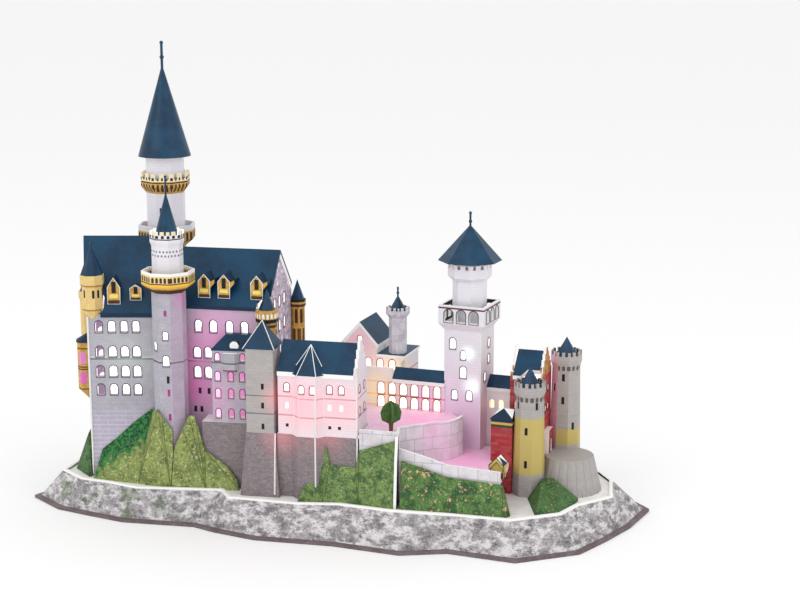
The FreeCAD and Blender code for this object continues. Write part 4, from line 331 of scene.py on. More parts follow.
def masonry():
    """Courses of stone blocks with thin joints."""
    def build(net, source):
        node = net.add("ShaderNodeTexBrick", offset=0.5)
        net.feed(node.inputs["Vector"], source["Spot"])
        net.feed(node.inputs["Color1"], BLACK)
        net.feed(node.inputs["Color2"], WHITE)
        net.feed(node.inputs["Mortar"], (0.5, 0.5, 0.5, 1.0))
        net.feed(node.inputs["Scale"], 1.0)
        net.feed(node.inputs["Mortar Size"], source["Joint"])
        net.feed(node.inputs["Mortar Smooth"], 0.4)
        net.feed(node.inputs["Brick Width"], source["Length"])
        net.feed(node.inputs["Row Height"], source["Course"])
        return {"Joints": node.outputs["Fac"], "Tone": node.outputs["Color"]}
    inputs = "Spot*, Course, Length, Joint"
    return shader_group("masonry", inputs, "Joints, Tone", build)


def arcade():
    """A row of printed arches: dark openings of one width, a pitch apart."""
    def build(net, source):
        pitch = source["Pitch"]
        half = net.maths("MULTIPLY", source["Width"], 0.5)
        shifted = net.maths("ADD", source["Along"], net.times(pitch, source["Shift"]))
        share = net.maths("FRACT", net.maths("DIVIDE", shifted, pitch))
        x = net.times(net.maths("SUBTRACT", share, 0.5), pitch)
        spring = net.maths("SUBTRACT", source["High"], half)
        rise = net.maths("MAXIMUM", net.maths("SUBTRACT", source["Height"], spring), 0.0)
        away = net.maths("SQRT", net.maths("ADD", net.times(x, x), net.times(rise, rise)))
        inside = net.step(away, net.maths("ADD", half, ARCH_SOFT), net.maths("SUBTRACT", half, ARCH_SOFT))
        above = net.step(source["Height"], source["Low"], net.maths("ADD", source["Low"], 0.2))
        return {"Opening": net.times(inside, above)}
    inputs = "Along, Height, Pitch, Width, Low, High, Shift"
    return shader_group("arcade", inputs, "Opening", build)


class Finish:
    """One printed finish: colour, glow, gloss and relief are gathered, then joined to a shader."""

    def __init__(self, name, *middles):
        self.material = bpy.data.materials.new(name)
        self.material.use_nodes = True
        tree = self.material.node_tree
        tree.nodes.clear()
        self.net = Net(tree)
        middles = middles or ((0.0, 0.0, 0.0),)
        self.place = self.net.use(card_place(), Middle=self.nearest(middles))
        self.tint = None
        self.light = BLACK
        self.relief = None
        self.gloss = 0.62

    def nearest(self, middles):
        """The middle of the like piece that a point belongs to."""
        net = self.net
        if len(middles) == 1:
            return middles[0]
        spot = net.vector("MULTIPLY", net.add("ShaderNodeTexCoord").outputs["Object"], (1000.0, 1000.0, 0.0))
        best = middles[0]
        least = net.vector("DISTANCE", spot, (best[0], best[1], 0.0))
        for other in middles[1:]:
            away = net.vector("DISTANCE", spot, (other[0], other[1], 0.0))
            closer = net.maths("LESS_THAN", away, least)
            node = net.add("ShaderNodeMix", data_type="VECTOR")
            for index, value in ((0, closer), (4, best), (5, other)):
                net.feed(node.inputs[index], value)
            best = node.outputs[1]
            least = net.maths("MINIMUM", least, away)
        return best

    def grain(self, patch, speck):
        return self.net.use(print_grain(), Place=self.place["Point"], Patch=patch, Speck=speck)

    def start(self, first, second, patch, speck, strength):
        """Base print: two tones in patches, with fine specks."""
        net = self.net
        grain = self.grain(patch, speck)
        share = net.maths("ADD", net.times(grain["Patches"], 1.0 - strength),
                          net.times(grain["Specks"], strength))
        self.tint = net.mix(share, first, second)
        self.relief = grain["Paper"]
        return grain

    def over(self, mask, shade):
        self.tint = self.net.mix(mask, self.tint, shade)

    def dye(self, shade, *masks):
        """Prints a named colour, or one given as 0 to 255, where all the masks say."""
        self.over(self.net.times(*masks), tone(shade) if isinstance(shade, str) else paint(*shade))

    def axis(self, what, index):
        """One coordinate of the point or of its face's direction."""
        return self.net.split(self.place[what])[index]

    def shine(self, mask, shade):
        """Adds light of one colour where the mask says."""
        self.light = self.net.mix(mask, self.light, shade)

    def band(self, low, high, soft=ARCH_SOFT):
        return self.net.use(print_band(), Height=self.place["Height"], Low=low, High=high, Soft=soft)["Band"]

    def spot(self, lamp, reach):
        return self.net.use(glow_spot(), Point=self.place["Point"], Lamp=lamp, Reach=reach)["Glow"]

    def arches(self, pitch, width, low, high, shift=0.5):
        return self.net.use(arcade(), Along=self.place["Along"], Height=self.place["Height"], Pitch=pitch,
                            Width=width, Low=low, High=high, Shift=shift)["Opening"]

    def sides(self, half, turn=0.0, square=1.0):
        return self.net.use(building_sides(), Local=self.place["Local"], Normal=self.place["Normal"],
                            Half_Length=half[0], Half_Depth=half[1], Turn=math.radians(turn), Square=square)

    def stones(self, course, length, joint=0.18):
        return self.net.use(masonry(), Spot=self.place["Spot"], Course=course, Length=length, Joint=joint)

    def done(self, strength=1.0, bump=0.25, specular=0.35):
        net = self.net
        shader = net.add("ShaderNodeBsdfPrincipled")
        net.feed(shader.inputs["Base Color"], self.tint)
        net.feed(shader.inputs["Roughness"], self.gloss)
        shader.inputs["Specular IOR Level"].default_value = specular
        net.feed(shader.inputs["Emission Color"], self.light)
        shader.inputs["Emission Strength"].default_value = strength
        if self.relief is not None:
            node = net.add("ShaderNodeBump")
            node.inputs["Strength"].default_value = bump
            node.inputs["Distance"].default_value = 0.1 * MM
            net.feed(node.inputs["Height"], self.relief)
            net.tree.links.new(node.outputs[0], shader.inputs["Normal"])
        out = net.add("ShaderNodeOutputMaterial")
        net.tree.links.new(shader.outputs[0], out.inputs["Surface"])
        return self.material


def looks():
    return bpy.context.scene.castle_colours


def sizes():
    return bpy.context.scene.castle_sizes


def tone(name):
    return tuple(getattr(looks(), name))


def middle_of(*names):
    """The middle, in millimetres, of the box that holds the named nodes."""
    boxes = [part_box(name) for name in names]
    low = [min(box[0][i] for box in boxes) / MM for i in range(3)]
    high = [max(box[1][i] for box in boxes) / MM for i in range(3)]
    return tuple((a + b) / 2 for a, b in zip(low, high))


def wear(names, material):
    """Gives each CAD node that material."""
    for name in names:
        mesh = NODES[name].data
        mesh.materials.clear()
        mesh.materials.append(material)


# Reading edges of the card from the frame

FOLD_LEAST = 6.0      # degrees: flatter edges are facets of one sheet
FOLD_MOST = 75.0      # degrees: sharper ones are the sheet's own rims
RIM_LEAST = 0.001     # metres: smallest and widest window opening
RIM_MOST = 0.013


def merged(name):
    """A copy of a node's mesh with its corners joined, for reading edges."""
    mesh = bmesh.new()
    mesh.from_mesh(NODES[name].data)
    bmesh.ops.remove_doubles(mesh, verts=mesh.verts, dist=0.002 * MM)
    mesh.normal_update()
    return mesh


def window_rims(name, middle):
    """Closed rims of the window openings on a node's outer faces, each with its outward direction."""
    mesh = merged(name)
    sharp = {}
    for edge in mesh.edges:
        if len(edge.link_faces) != 2:
            continue
        first, second = edge.link_faces
        if abs(first.normal.dot(second.normal)) > 0.35:
            continue
        for face in (first, second):
            out = face.calc_center_median() - middle
            if abs(face.normal.z) < 0.1 and face.normal.x * out.x + face.normal.y * out.y > 0:
                key = tuple(round(c, 2) for c in face.normal)
                sharp.setdefault(key, []).append(edge)
    rims = []
    for key, edges in sharp.items():
        links = {}
        for edge in edges:
            a, b = edge.verts
            links.setdefault(a, []).append(b)
            links.setdefault(b, []).append(a)
        seen = set()
        for start in links:
            if start in seen:
                continue
            loop = [start]
            seen.add(start)
            while True:
                ahead = [v for v in links[loop[-1]] if v not in seen]
                if not ahead:
                    break
                loop.append(ahead[0])
                seen.add(ahead[0])
            points = [v.co.copy() for v in loop]
            if len(points) < 4 or loop[0] not in links[loop[-1]]:
                continue
            normal = Vector(key).normalized()
            side = Vector((0, 0, 1)).cross(normal)
            width = max(p.dot(side) for p in points) - min(p.dot(side) for p in points)
            height = max(p.z for p in points) - min(p.z for p in points)
            if max(width, height) < RIM_MOST and width > RIM_LEAST:
                rims.append((points, normal, width))
    mesh.free()
    return rims


def fold_edges(name):
    """Edges where a folded sheet bends, as pairs of points."""
    mesh = merged(name)
    pairs = []
    for edge in mesh.edges:
        if len(edge.link_faces) != 2:
            continue
        first, second = edge.link_faces
        bend = math.degrees(first.normal.angle(second.normal, 0.0))
        if FOLD_LEAST < bend < FOLD_MOST and first.normal.y + second.normal.y < 0.6:
            if min(first.normal.z, second.normal.z) > -0.2:
                pairs.append((edge.verts[0].co.copy(), edge.verts[1].co.copy()))
    mesh.free()
    return pairs


def sweep_tree():
    """Geometry nodes: a slim bead along every line of a mesh."""
    if "printed line" in bpy.data.node_groups:
        return bpy.data.node_groups["printed line"]
    tree = bpy.data.node_groups.new("printed line", "GeometryNodeTree")
    face = tree.interface
    face.new_socket(name="Lines", in_out="INPUT", socket_type="NodeSocketGeometry")
    width = face.new_socket(name="Width", in_out="INPUT", socket_type="NodeSocketFloat")
    width.default_value = 0.5 * MM
    face.new_socket(name="Ink", in_out="INPUT", socket_type="NodeSocketMaterial")
    face.new_socket(name="Mesh", in_out="OUTPUT", socket_type="NodeSocketGeometry")
    nodes, links = tree.nodes, tree.links
    source = nodes.new("NodeGroupInput")
    target = nodes.new("NodeGroupOutput")
    curve = nodes.new("GeometryNodeMeshToCurve")
    ring = nodes.new("GeometryNodeCurvePrimitiveCircle")
    ring.inputs["Resolution"].default_value = 4
    half = nodes.new("ShaderNodeMath")
    half.operation = "MULTIPLY"
    half.inputs[1].default_value = 0.5
    sweep = nodes.new("GeometryNodeCurveToMesh")
    sweep.inputs["Fill Caps"].default_value = True
    real = nodes.new("GeometryNodeRealizeInstances")
    ink = nodes.new("GeometryNodeSetMaterial")
    links.new(source.outputs["Lines"], curve.inputs[0])
    links.new(source.outputs["Width"], half.inputs[0])
    links.new(half.outputs[0], ring.inputs["Radius"])
    links.new(curve.outputs[0], sweep.inputs["Curve"])
    links.new(ring.outputs[0], sweep.inputs["Profile Curve"])
    links.new(sweep.outputs[0], real.inputs[0])
    links.new(real.outputs[0], ink.inputs["Geometry"])
    links.new(source.outputs["Ink"], ink.inputs["Material"])
    links.new(ink.outputs[0], target.inputs[0])
    return tree


def socket_of(tree, name):
    for item in tree.interface.items_tree:
        if item.name == name and item.in_out == "INPUT":
            return item.identifier
    raise ValueError(name)


def new_object(name, mesh):
    piece = bpy.data.objects.new(name, mesh)
    bpy.context.scene.collection.objects.link(piece)
    return piece


def settle(piece):
    """A finished piece rides on the castle's one body."""
    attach(piece, "root")
    return piece


def printed_lines(name, chains, width, material, closed=True):
    """Slim printed or scored lines along chains of points."""
    verts, edges = [], []
    for chain in chains:
        first = len(verts)
        verts += [tuple(p) for p in chain]
        edges += [(first + i, first + i + 1) for i in range(len(chain) - 1)]
        if closed:
            edges.append((first + len(chain) - 1, first))
    if not edges:
        return None
    mesh = bpy.data.meshes.new(name)
    mesh.from_pydata(verts, edges, [])
    piece = new_object(name, mesh)
    tree = sweep_tree()
    modifier = piece.modifiers.new("printed line", "NODES")
    modifier.node_group = tree
    modifier[socket_of(tree, "Width")] = width
    modifier[socket_of(tree, "Ink")] = material
    graph = bpy.context.evaluated_depsgraph_get()
    baked = bpy.data.meshes.new_from_object(piece.evaluated_get(graph), depsgraph=graph)
    piece.modifiers.clear()
    piece.data = baked
    baked.name = name
    bpy.data.meshes.remove(mesh)
    return settle(piece)


def panes(name, rims, depth, material):
    """Thin panes filling the given rims, set back from the face by depth."""
    mesh = bmesh.new()
    for points, normal, _ in rims:
        middle = sum(points, Vector()) / len(points)
        rings = []
        for back in (depth, depth + 0.3 * MM):
            rings.append([mesh.verts.new(middle + (p - middle) * 0.985 - normal * back) for p in points])
        front, rear = rings
        faces = [mesh.faces.new(front), mesh.faces.new(list(reversed(rear)))]
        for i in range(len(points)):
            j = (i + 1) % len(points)
            faces.append(mesh.faces.new((front[j], front[i], rear[i], rear[j])))
    bmesh.ops.recalc_face_normals(mesh, faces=mesh.faces)
    data = bpy.data.meshes.new(name)
    mesh.to_mesh(data)
    mesh.free()
    data.materials.append(material)
    return settle(new_object(name, data))


def ink_material(name, shade, glow=None, strength=0.0):
    """Printed ink, or a lit pane when it has a glow."""
    finish = Finish(name)
    net = finish.net
    grain = finish.grain(2.0, 0.5)
    finish.tint = net.mix(net.times(grain["Specks"], 0.25), shade, tuple(c * 0.6 for c in shade[:3]) + (1.0,))
    finish.relief = grain["Paper"]
    finish.gloss = net.spread(grain["Patches"], 0.0, 1.0, 0.54, 0.66)
    if glow:
        finish.light = net.mix(net.times(grain["Patches"], 0.2), glow, WHITE)
    return finish.done(strength=strength, bump=0.15)


# Places on the castle, in millimetres: origin of a front's left end and its direction

FRONTS = {
    "palace_west": (-178.3, -55.1, 8.0),
    "palace_east": (-129.8, -48.3, -3.0),
    "annex": (-83.5, -67.2, 0.0),
    "annex_base": (-91.5, -68.0, 0.0),
    "bower_tower": (-55.3, -78.8, -3.0),
    "bower": (-33.5, -78.3, -5.0),
    "hall": (-3.0, 13.5, -11.5),
    "gallery": (16.4, -6.4, -11.5),
    "gate": (126.5, -38.0, -10.0),
    "gate_annex": (114.0, -50.0, -12.0),
    "lodge": (117.5, -88.5, -14.0),
}
PALACE_MIDDLE = (-112.0, -18.0, 90.0)
PALACE_WALLS = ("palace_south_wall_west", "palace_south_wall_east", "palace_north_wall", "palace_gables")
STAIR_TURRET = ((-114.9, -61.4, 0.0), (11.0, 11.0), 0.0)
BOWER_TOWER = ((-45.8, -69.3, 0.0), (10.0, 10.0), -3.0)
SQUARE_TOWER = ((94.1, -7.9, 0.0), (14.0, 14.0), -15.0)
GATE_TOWERS = [(141.2, -48.5, 0.0), (165.0, -11.0, 0.0)]


# Light of the lamps on printed walls: place and reach in millimetres, colour, cover and brightness

BASE_GLOWS = [((-31.0, -84.0, 66.0), 24.0, "rose", 0.5, 0.12),
              ((2.0, -86.0, 68.0), 24.0, "rose", 0.35, 0.08)]
GLOWS = {
    "annex wall print": [((-80.0, -68.0, 90.0), 30.0, "pink", 0.35, 0.03)],
    "bower tower print": [((-32.0, -76.0, 94.0), 22.0, "rose", 0.7, 0.15)],
    "bower wall print": [((-20.0, -88.0, 90.0), 44.0, "rose", 0.7, 0.3),
                        ((14.0, -88.0, 90.0), 36.0, "rose", 0.6, 0.2)],
    "hall wall print": [((8.0, 8.0, 112.0), 44.0, "rose", 0.45, 0.06),
                       ((36.0, 0.0, 90.0), 36.0, "warm", 0.7, 0.3)],
    "gallery wall print": [((26.0, -12.0, 82.0), 34.0, "warm", 0.8, 0.3),
                          ((64.0, -20.0, 74.0), 34.0, "pink", 0.5, 0.12)],
    "square tower print": [((94.0, -24.0, 116.0), 9.0, "cool", 1.0, 0.8),
                          ((98.0, -24.0, 92.0), 12.0, "cool", 1.0, 0.6)],
    "palace wall print": [((-103.0, -56.0, 90.0), 34.0, "magenta", 0.85, 0.14),
                         ((-103.0, -56.0, 116.0), 30.0, "magenta", 0.6, 0.08),
                         ((-84.0, -56.0, 132.0), 40.0, "pink", 0.5, 0.08)],
    "annex base print": BASE_GLOWS,
    "bower tower base print": BASE_GLOWS,
    "bower base print": BASE_GLOWS,
}

# Printed strings on the walls: lower and upper height in millimetres, colour and cover

BANDS = {
    "palace wall print": [(110.0, 111.4, "string", 0.85),
                         (111.6, 112.4, "foam", 0.5)],
    "annex wall print": [(114.0, 115.3, "string", 0.8)],
    "bower tower print": [(94.4, 95.4, "string", 0.7),
                         (81.4, 82.4, "string", 0.7)],
    "bower wall print": [(94.6, 95.6, "rubble", 0.8),
                        (81.0, 82.2, "rubble", 0.8)],
    "hall wall print": [(92.4, 93.4, "salmon", 0.9),
                       (86.8, 88.0, "salmon", 0.9)],
    "gallery wall print": [(79.2, 80.2, "salmon", 0.9),
                          (88.8, 89.8, "salmon", 0.7),
                          (71.0, 72.0, "salmon", 0.6)],
}


def at(front, along, back, height):
    """A point given along a front, behind it and up, in metres."""
    x, y, turn = FRONTS[front]
    c, s = math.cos(math.radians(turn)), math.sin(math.radians(turn))
    return Vector((x + along * c - back * s, y + along * s + back * c, height)) * MM


def block(front, length, depth):
    """Middle, half sizes and direction of a rectangular building behind a front."""
    middle = at(front, length / 2, depth / 2, 0.0) / MM
    return (middle.x, middle.y, 0.0), (length / 2, depth / 2), FRONTS[front][2]


BLOCK_RATIO = 2.1          # length of a stone to its height
STONE_TONE = 0.08          # how much stones differ from each other
ROOM_DRIFT = 16.0          # millimetres: size of the lamps' patches of colour in a room
JOINT_DEPTH = 0.5


def wall_finish(name, nodes, first, second, plan, square=1.0, course=2.2, joints=0.1,
                room="cool", room_tint="cool", cut="foam", patch=7.0, strength=0.5, extra=None):
    """Printed masonry outside, a lit room inside and the card's cut edges. Where the room is ink, the inner
    faces are painted near-black instead: painted shade of an unlit inside.
    """
    middle, half, turn = plan
    finish = Finish(name, *(middle if isinstance(middle, list) else [middle]))
    net = finish.net
    finish.start(tone(first), tone(second), patch, 0.8, strength)
    stones = finish.stones(course, course * BLOCK_RATIO)
    finish.over(net.times(stones["Tone"], STONE_TONE), WHITE)
    finish.dye("ink", stones["Joints"], joints)
    for low, high, shade, amount in BANDS.get(name, ()):
        finish.dye(shade, finish.band(low, high), amount)
    if extra:
        extra(finish)
    for place, reach, shade, amount, lit in GLOWS.get(name, ()):
        glow = finish.spot(place, reach)
        finish.dye(shade, glow, amount)
        finish.shine(net.times(glow, lit), tone(shade))
    sides = finish.sides(half, turn, square)
    finish.dye(cut, sides["Cut"])
    finish.light = net.mix(sides["Cut"], finish.light, BLACK)
    # Painted shade: when the room is ink, the inner faces get near-black paint and no glow, for the dark of
    # an unlit inside.
    dark = room == "ink"
    finish.dye(room if dark else "foam", sides["Inside"])
    drift = net.step(net.noise(finish.place["Point"], ROOM_DRIFT, 1.0, 0.5), 0.42, 0.62)
    inner = net.mix(drift, tone(room), tone(room_tint))
    finish.light = net.mix(sides["Inside"], finish.light, BLACK if dark else inner)
    finish.relief = net.maths("SUBTRACT", finish.relief, net.times(stones["Joints"], JOINT_DEPTH))
    wear(nodes, finish.done(strength=sizes().lamp))


def roof_finish(name, nodes, plan, edge="foam"):
    """Slate print with cut edges of the card, and a lit underside."""
    middle, half, turn = plan
    finish = Finish(name, middle)
    net = finish.net
    grain = finish.start(tone("roof"), tone("roof_deep"), 24.0, 0.7, 0.35)
    stones = finish.stones(1.7, 1.5, 0.12)
    finish.dye("roof_deep", stones["Joints"], 0.3)
    sides = finish.sides(half, turn, 1.0)
    up = finish.axis("Normal", 2)
    upright = net.step(finish.place["Level"], 0.10, 0.05)
    downward = net.step(up, -0.05, -0.15)
    below = net.times(sides["Outside"], downward)
    finish.dye(edge, net.either(upright, below))
    under = net.times(net.flip(sides["Outside"]), downward)
    finish.dye("foam", under)
    finish.shine(net.times(under, 0.4), tone("cool"))
    finish.gloss = net.spread(grain["Specks"], 0.0, 1.0, 0.42, 0.54)
    finish.relief = net.maths("SUBTRACT", finish.relief, net.times(stones["Joints"], 0.6))
    wear(nodes, finish.done(strength=1.0, specular=0.3))


# Finishes of the CAD nodes, one function for each building

def put_palace():
    plan = (PALACE_MIDDLE, (68.0, 36.0), 1.0)

    def south(finish):
        net = finish.net
        # Painted light: a pool of cool lamp light painted into the colour around the west end of the south
        # wall.
        cool = finish.spot((-150.0, -52.0, 112.0), 46.0)
        finish.dye((205, 216, 208), cool, 0.55)
        height = finish.place["Height"]
        low = net.step(height, 82.0, 60.0)
        rows = finish.stones(3.4, 13.0, 0.4)
        finish.dye((228, 222, 236), low, rows["Joints"], 0.55)
        finish.dye((196, 180, 212), low, 0.3)
        east = net.step(finish.axis("Point", 0), -106.0, -98.0)
        finish.dye((214, 176, 206), east, 0.55)
        finish.dye((120, 40, 80), finish.band(149.2, 151.5), east, 0.8)

    wall_finish("palace wall print", PALACE_WALLS[:3], "stone", "stone_deep", plan, joints=0.10, cut="line",
                room_tint="pale_pink", extra=south)

    def gable(finish):
        net = finish.net
        blobs = net.step(net.noise(finish.place["Point"], 4.5, 2.0, 0.6), 0.45, 0.6)
        finish.dye((240, 206, 232), blobs, 0.6)
        dots = net.step(net.cells(finish.place["Point"], 4.6)["Distance"], 0.30, 0.20)
        finish.dye((120, 76, 88), dots, 0.75)
        pale = net.step(net.cells(finish.place["Point"], 9.0)["Distance"], 0.26, 0.12)
        finish.dye((252, 246, 252), pale)

    wall_finish("palace gable print", ("palace_gables",), "stone", "stone_deep", plan, joints=0.10,
                extra=gable, room_tint="pale_pink")
    roof_finish("palace roof print", ("palace_roof_west", "palace_roof_east"), plan, edge="roof_deep")


def ochre_start(name, *middles):
    finish = Finish(name, *middles)
    finish.start(tone("ochre"), tone("ochre_deep"), 2.6, 0.5, 0.5)
    return finish


def put_ochre():
    finish = ochre_start("dormer print", PALACE_MIDDLE)
    net = finish.net
    up = finish.axis("Normal", 2)
    # Painted shade: both side faces of the dormers are painted dark slate.
    side = net.step(net.maths("ABSOLUTE", finish.axis("Normal", 0)), 0.6, 0.8)
    finish.dye("roof_deep", side)
    finish.dye("roof_deep", net.step(up, 0.2, 0.3))
    finish.dye("foam", net.step(up, 0.9, 0.95))
    wear(("palace_dormers",), finish.done())

    finish = ochre_start("corner turret print", (-178.3, -55.1, 0.0), (-46.7, -52.7, 0.0), (-43.0, 17.2, 0.0),
                         (-188.0, 14.0, 0.0))
    net = finish.net
    west = net.step(finish.axis("Point", 0), -120.0, -130.0)
    east = net.flip(west)
    finish.dye((236, 214, 150), west, 0.6)
    finish.dye("ink", west, finish.arches(5.8, 1.8, 156.0, 162.0))
    for low, high in ((146.6, 147.8), (164.4, 165.6)):
        finish.dye("ochre_deep", west, finish.band(low, high))
    finish.dye("brown", east, finish.arches(3.0, 1.5, 112.0, 122.0))
    finish.dye("brown", east, finish.arches(4.4, 2.4, 126.0, 137.0))
    finish.dye("brown", east, finish.band(138.6, 140.6, 0.3))
    finish.dye("ink", east, finish.band(142.2, 145.0, 0.2))
    finish.dye("foam", east, finish.arches(3.2, 1.7, 145.4, 149.0))
    finish.dye((190, 60, 40), east, finish.band(104.0, 110.0, 0.4), 0.6)
    wear(("corner_turrets",), finish.done())

    finish = ochre_start("west bay print", middle_of("west_bay"))
    net = finish.net
    finish.dye((226, 140, 200), finish.arches(5.0, 3.4, 104.0, 113.0))
    finish.dye((222, 110, 190), finish.arches(5.0, 3.4, 89.0, 98.0))
    for low in (84.5, 99.5, 101.2, 115.0):
        finish.dye("brown", finish.band(low, low + 0.9))
    finish.dye("roof_deep", net.step(finish.axis("Normal", 2), 0.2, 0.3))
    wear(("west_bay",), finish.done())


def put_stair_turret():
    def face(finish):
        net = finish.net
        finish.dye("string", finish.band(113.4, 114.6))
        finish.dye("magenta", finish.spot((-102.0, -66.0, 160.0), 14.0), 0.7)
        # Painted light: the east-facing side of the shaft is tinted pink, as pink lamp light.
        finish.dye((206, 150, 196), net.step(finish.axis("Normal", 0), 0.3, 0.9), 0.35)

    wall_finish("stair turret print", ("stair_turret_shaft",), "stone", "stone_deep",
                STAIR_TURRET, square=0.0, joints=0.08, extra=face)

    def crown(finish):
        finish.dye("ink", finish.arches(4.2, 2.2, 203.2, 205.6))
        finish.dye("brown", finish.band(202.2, 203.0))
        finish.dye((240, 222, 170), finish.band(205.9, 209.0))
        finish.dye("dot", finish.arches(2.6, 1.3, 193.0, 194.6))
        finish.dye("dot", finish.arches(2.6, 1.3, 190.0, 191.6, 0.0))

    wall_finish("stair drum print", ("stair_turret_drum",), "white_stone", "white_stone",
                STAIR_TURRET, square=0.0, joints=0.06, extra=crown)
    finish = ochre_start("balcony print", STAIR_TURRET[0])
    low, high = (c.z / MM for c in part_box("stair_turret_balcony"))
    finish.dye((236, 212, 150), finish.band(high - 7.0, high - 2.2))
    finish.dye("brown", finish.arches(3.0, 2.0, high - 6.8, high - 2.8))
    finish.dye("foam", finish.band(high - 2.0, high + 1.0))
    finish.dye("brown", finish.band(high - 7.8, high - 7.1))
    finish.dye("honey", finish.band(high - 11.0, high - 8.0))
    finish.dye("brown", finish.band(low - 1.0, high - 12.0, 0.6))
    wear(("stair_turret_balcony",), finish.done())


def put_towers():
    for node, name in (("main_tower_shaft", "main tower print"), ("hall_turret", "hall turret print"),
                       ("square_tower_drum", "square drum print")):
        # room=ink paints the towers' inner faces near-black: painted shade of the unlit inside.
        wall_finish(name, (node,), "stone" if node == "hall_turret" else "white_stone", "white_stone",
                    (middle_of(node), (11.0, 11.0), 0.0), square=0.0, joints=0.08, course=2.0,
                    room="ink")
    finish = ochre_start("main gallery print", middle_of("main_tower_galleries"))
    net = finish.net
    finish.dye("brown", finish.arches(3.6, 2.2, 184.0, 191.5))
    finish.dye("honey", finish.band(181.0, 183.0, 0.4))
    finish.dye("white_stone", finish.band(192.4, 199.0))
    finish.dye("brown", finish.arches(3.4, 1.8, 222.5, 228.4))
    finish.dye("brown", finish.band(229.2, 230.2))
    finish.dye((240, 226, 190), finish.band(230.4, 240.0))
    finish.dye("ink", finish.arches(3.4, 1.4, 231.2, 233.6))
    wear(("main_tower_galleries",), finish.done())
    for node in ("stair_turret_spire", "main_tower_spire", "square_tower_roof", "turret_roofs"):
        finish = Finish(node.replace("_", " ") + " print", middle_of(node))
        net = finish.net
        grain = finish.start(tone("roof"), tone("roof_deep"), 16.0, 0.6, 0.3)
        finish.dye("foam", net.step(finish.axis("Normal", 2), -0.5, -0.7), 0.9)
        finish.gloss = net.spread(grain["Specks"], 0.0, 1.0, 0.34, 0.46)
        wear((node,), finish.done(specular=0.35))


def put_bower():
    def oriel(finish):
        net = finish.net
        x = finish.axis("Point", 0)
        finish.dye((120, 70, 96), net.step(x, -75.2, -74.8), net.step(x, -64.4, -64.8),
                   finish.band(108.5, 110.0))

    wall_finish("annex wall print", ("annex_walls",), "stone", "stone_deep", block("annex", 27.5, 16.0),
                room="pink", room_tint="pale_pink", extra=oriel)
    wall_finish("bower tower print", ("bower_tower_walls",), "grey_stone", "grey_stone",
                BOWER_TOWER, strength=0.7)

    wall_finish("bower wall print", ("bower_walls",), "white_stone", "white_stone",
                block("bower", 57.0, 29.0), strength=0.2, room="rose", room_tint="pale_pink")
    for node, plan in (("annex_base", block("annex_base", 43.5, 16.0)),
                       ("bower_tower_base", ((-45.8, -69.3, 0.0), (12.0, 12.0), -3.0)),
                       ("bower_base", block("bower", 57.0, 29.0))):
        wall_finish(node.replace("_", " ") + " print", (node,), "rubble", "rubble_deep", plan, course=1.5,
                    joints=0.12, strength=0.8, patch=2.4)
    roof_finish("bower roof print", ("bower_roof",), block("bower", 57.0, 29.0))
    roof_finish("bower bay roof print", ("bower_bay_roof",), block("bower", 45.0, 20.0))
    roof_finish("annex roof print", ("annex_roof",), block("annex", 27.5, 16.0))
    roof_finish("bower tower roof print", ("bower_tower_roof",), ((-45.8, -69.3, 0.0), (11.0, 11.0), -3.0))


def put_courts():
    wall_finish("hall wall print", ("hall_walls",), "white_stone", "white_stone", block("hall", 48.0, 34.0),
                joints=0.06, room="warm", room_tint="pale_pink")
    wall_finish("gallery wall print", ("gallery_walls",), "white_stone", "white_stone",
                block("gallery", 61.0, 13.0), joints=0.06, room="warm", room_tint="pale_pink")
    roof_finish("gallery roof print", ("gallery_roofs",), block("gallery", 110.0, 13.0))
    roof_finish("hall roof print", ("hall_roof",), block("hall", 48.0, 34.0))

    def lilac(finish):
        finish.dye((238, 196, 228), finish.net.step(finish.place["Height"], 120.0, 60.0), 0.7)

    wall_finish("square tower print", ("square_tower_shaft",), "white_stone", "white_stone", SQUARE_TOWER,
                joints=0.10, strength=0.2, extra=lilac, room_tint="pale_pink")

    def crown(finish):
        finish.dye((96, 52, 48), finish.band(148.6, 149.8))

    # room=ink paints the gallery's inner faces near-black: painted shade of the unlit inside.
    wall_finish("square gallery print", ("square_tower_gallery",), "white_stone", "white_stone",
                (SQUARE_TOWER[0], (17.0, 17.0), -15.0), joints=0.06, room="ink", extra=crown)

    finish = Finish("court wall print", (60.0, -50.0, 0.0))
    net = finish.net
    finish.start(tone("white_stone"), paint(206, 200, 204), 8.0, 0.8, 0.3)
    panels = finish.stones(9.0, 14.0, 0.35)
    finish.dye((110, 100, 108), panels["Joints"], 0.4)
    finish.dye("foam", net.step(finish.axis("Normal", 2), 0.9, 0.96))
    for place, reach in (((92.0, -62.0, 46.0), 34.0), ((70.0, -50.0, 68.0), 26.0)):
        glow = finish.spot(place, reach)
        finish.dye("pink", glow, 0.55)
        finish.shine(net.times(glow, 0.08), tone("pink"))
    wear(("court_walls",), finish.done())

    finish = Finish("court floor print", middle_of("court_floors"))
    net = finish.net
    finish.start(paint(246, 218, 236), paint(238, 200, 226), 6.0, 0.8, 0.3)
    paving = finish.stones(4.0, 4.0, 0.2)
    finish.dye((190, 120, 170), paving["Joints"], 0.25)
    for place, reach in (((96.0, -52.0, 46.0), 56.0), ((60.0, -40.0, 72.0), 46.0)):
        glow = finish.spot(place, reach)
        finish.dye("pink", glow, 0.55)
        finish.shine(net.times(glow, 0.08), tone("pink"))
    wear(("court_floors",), finish.done())


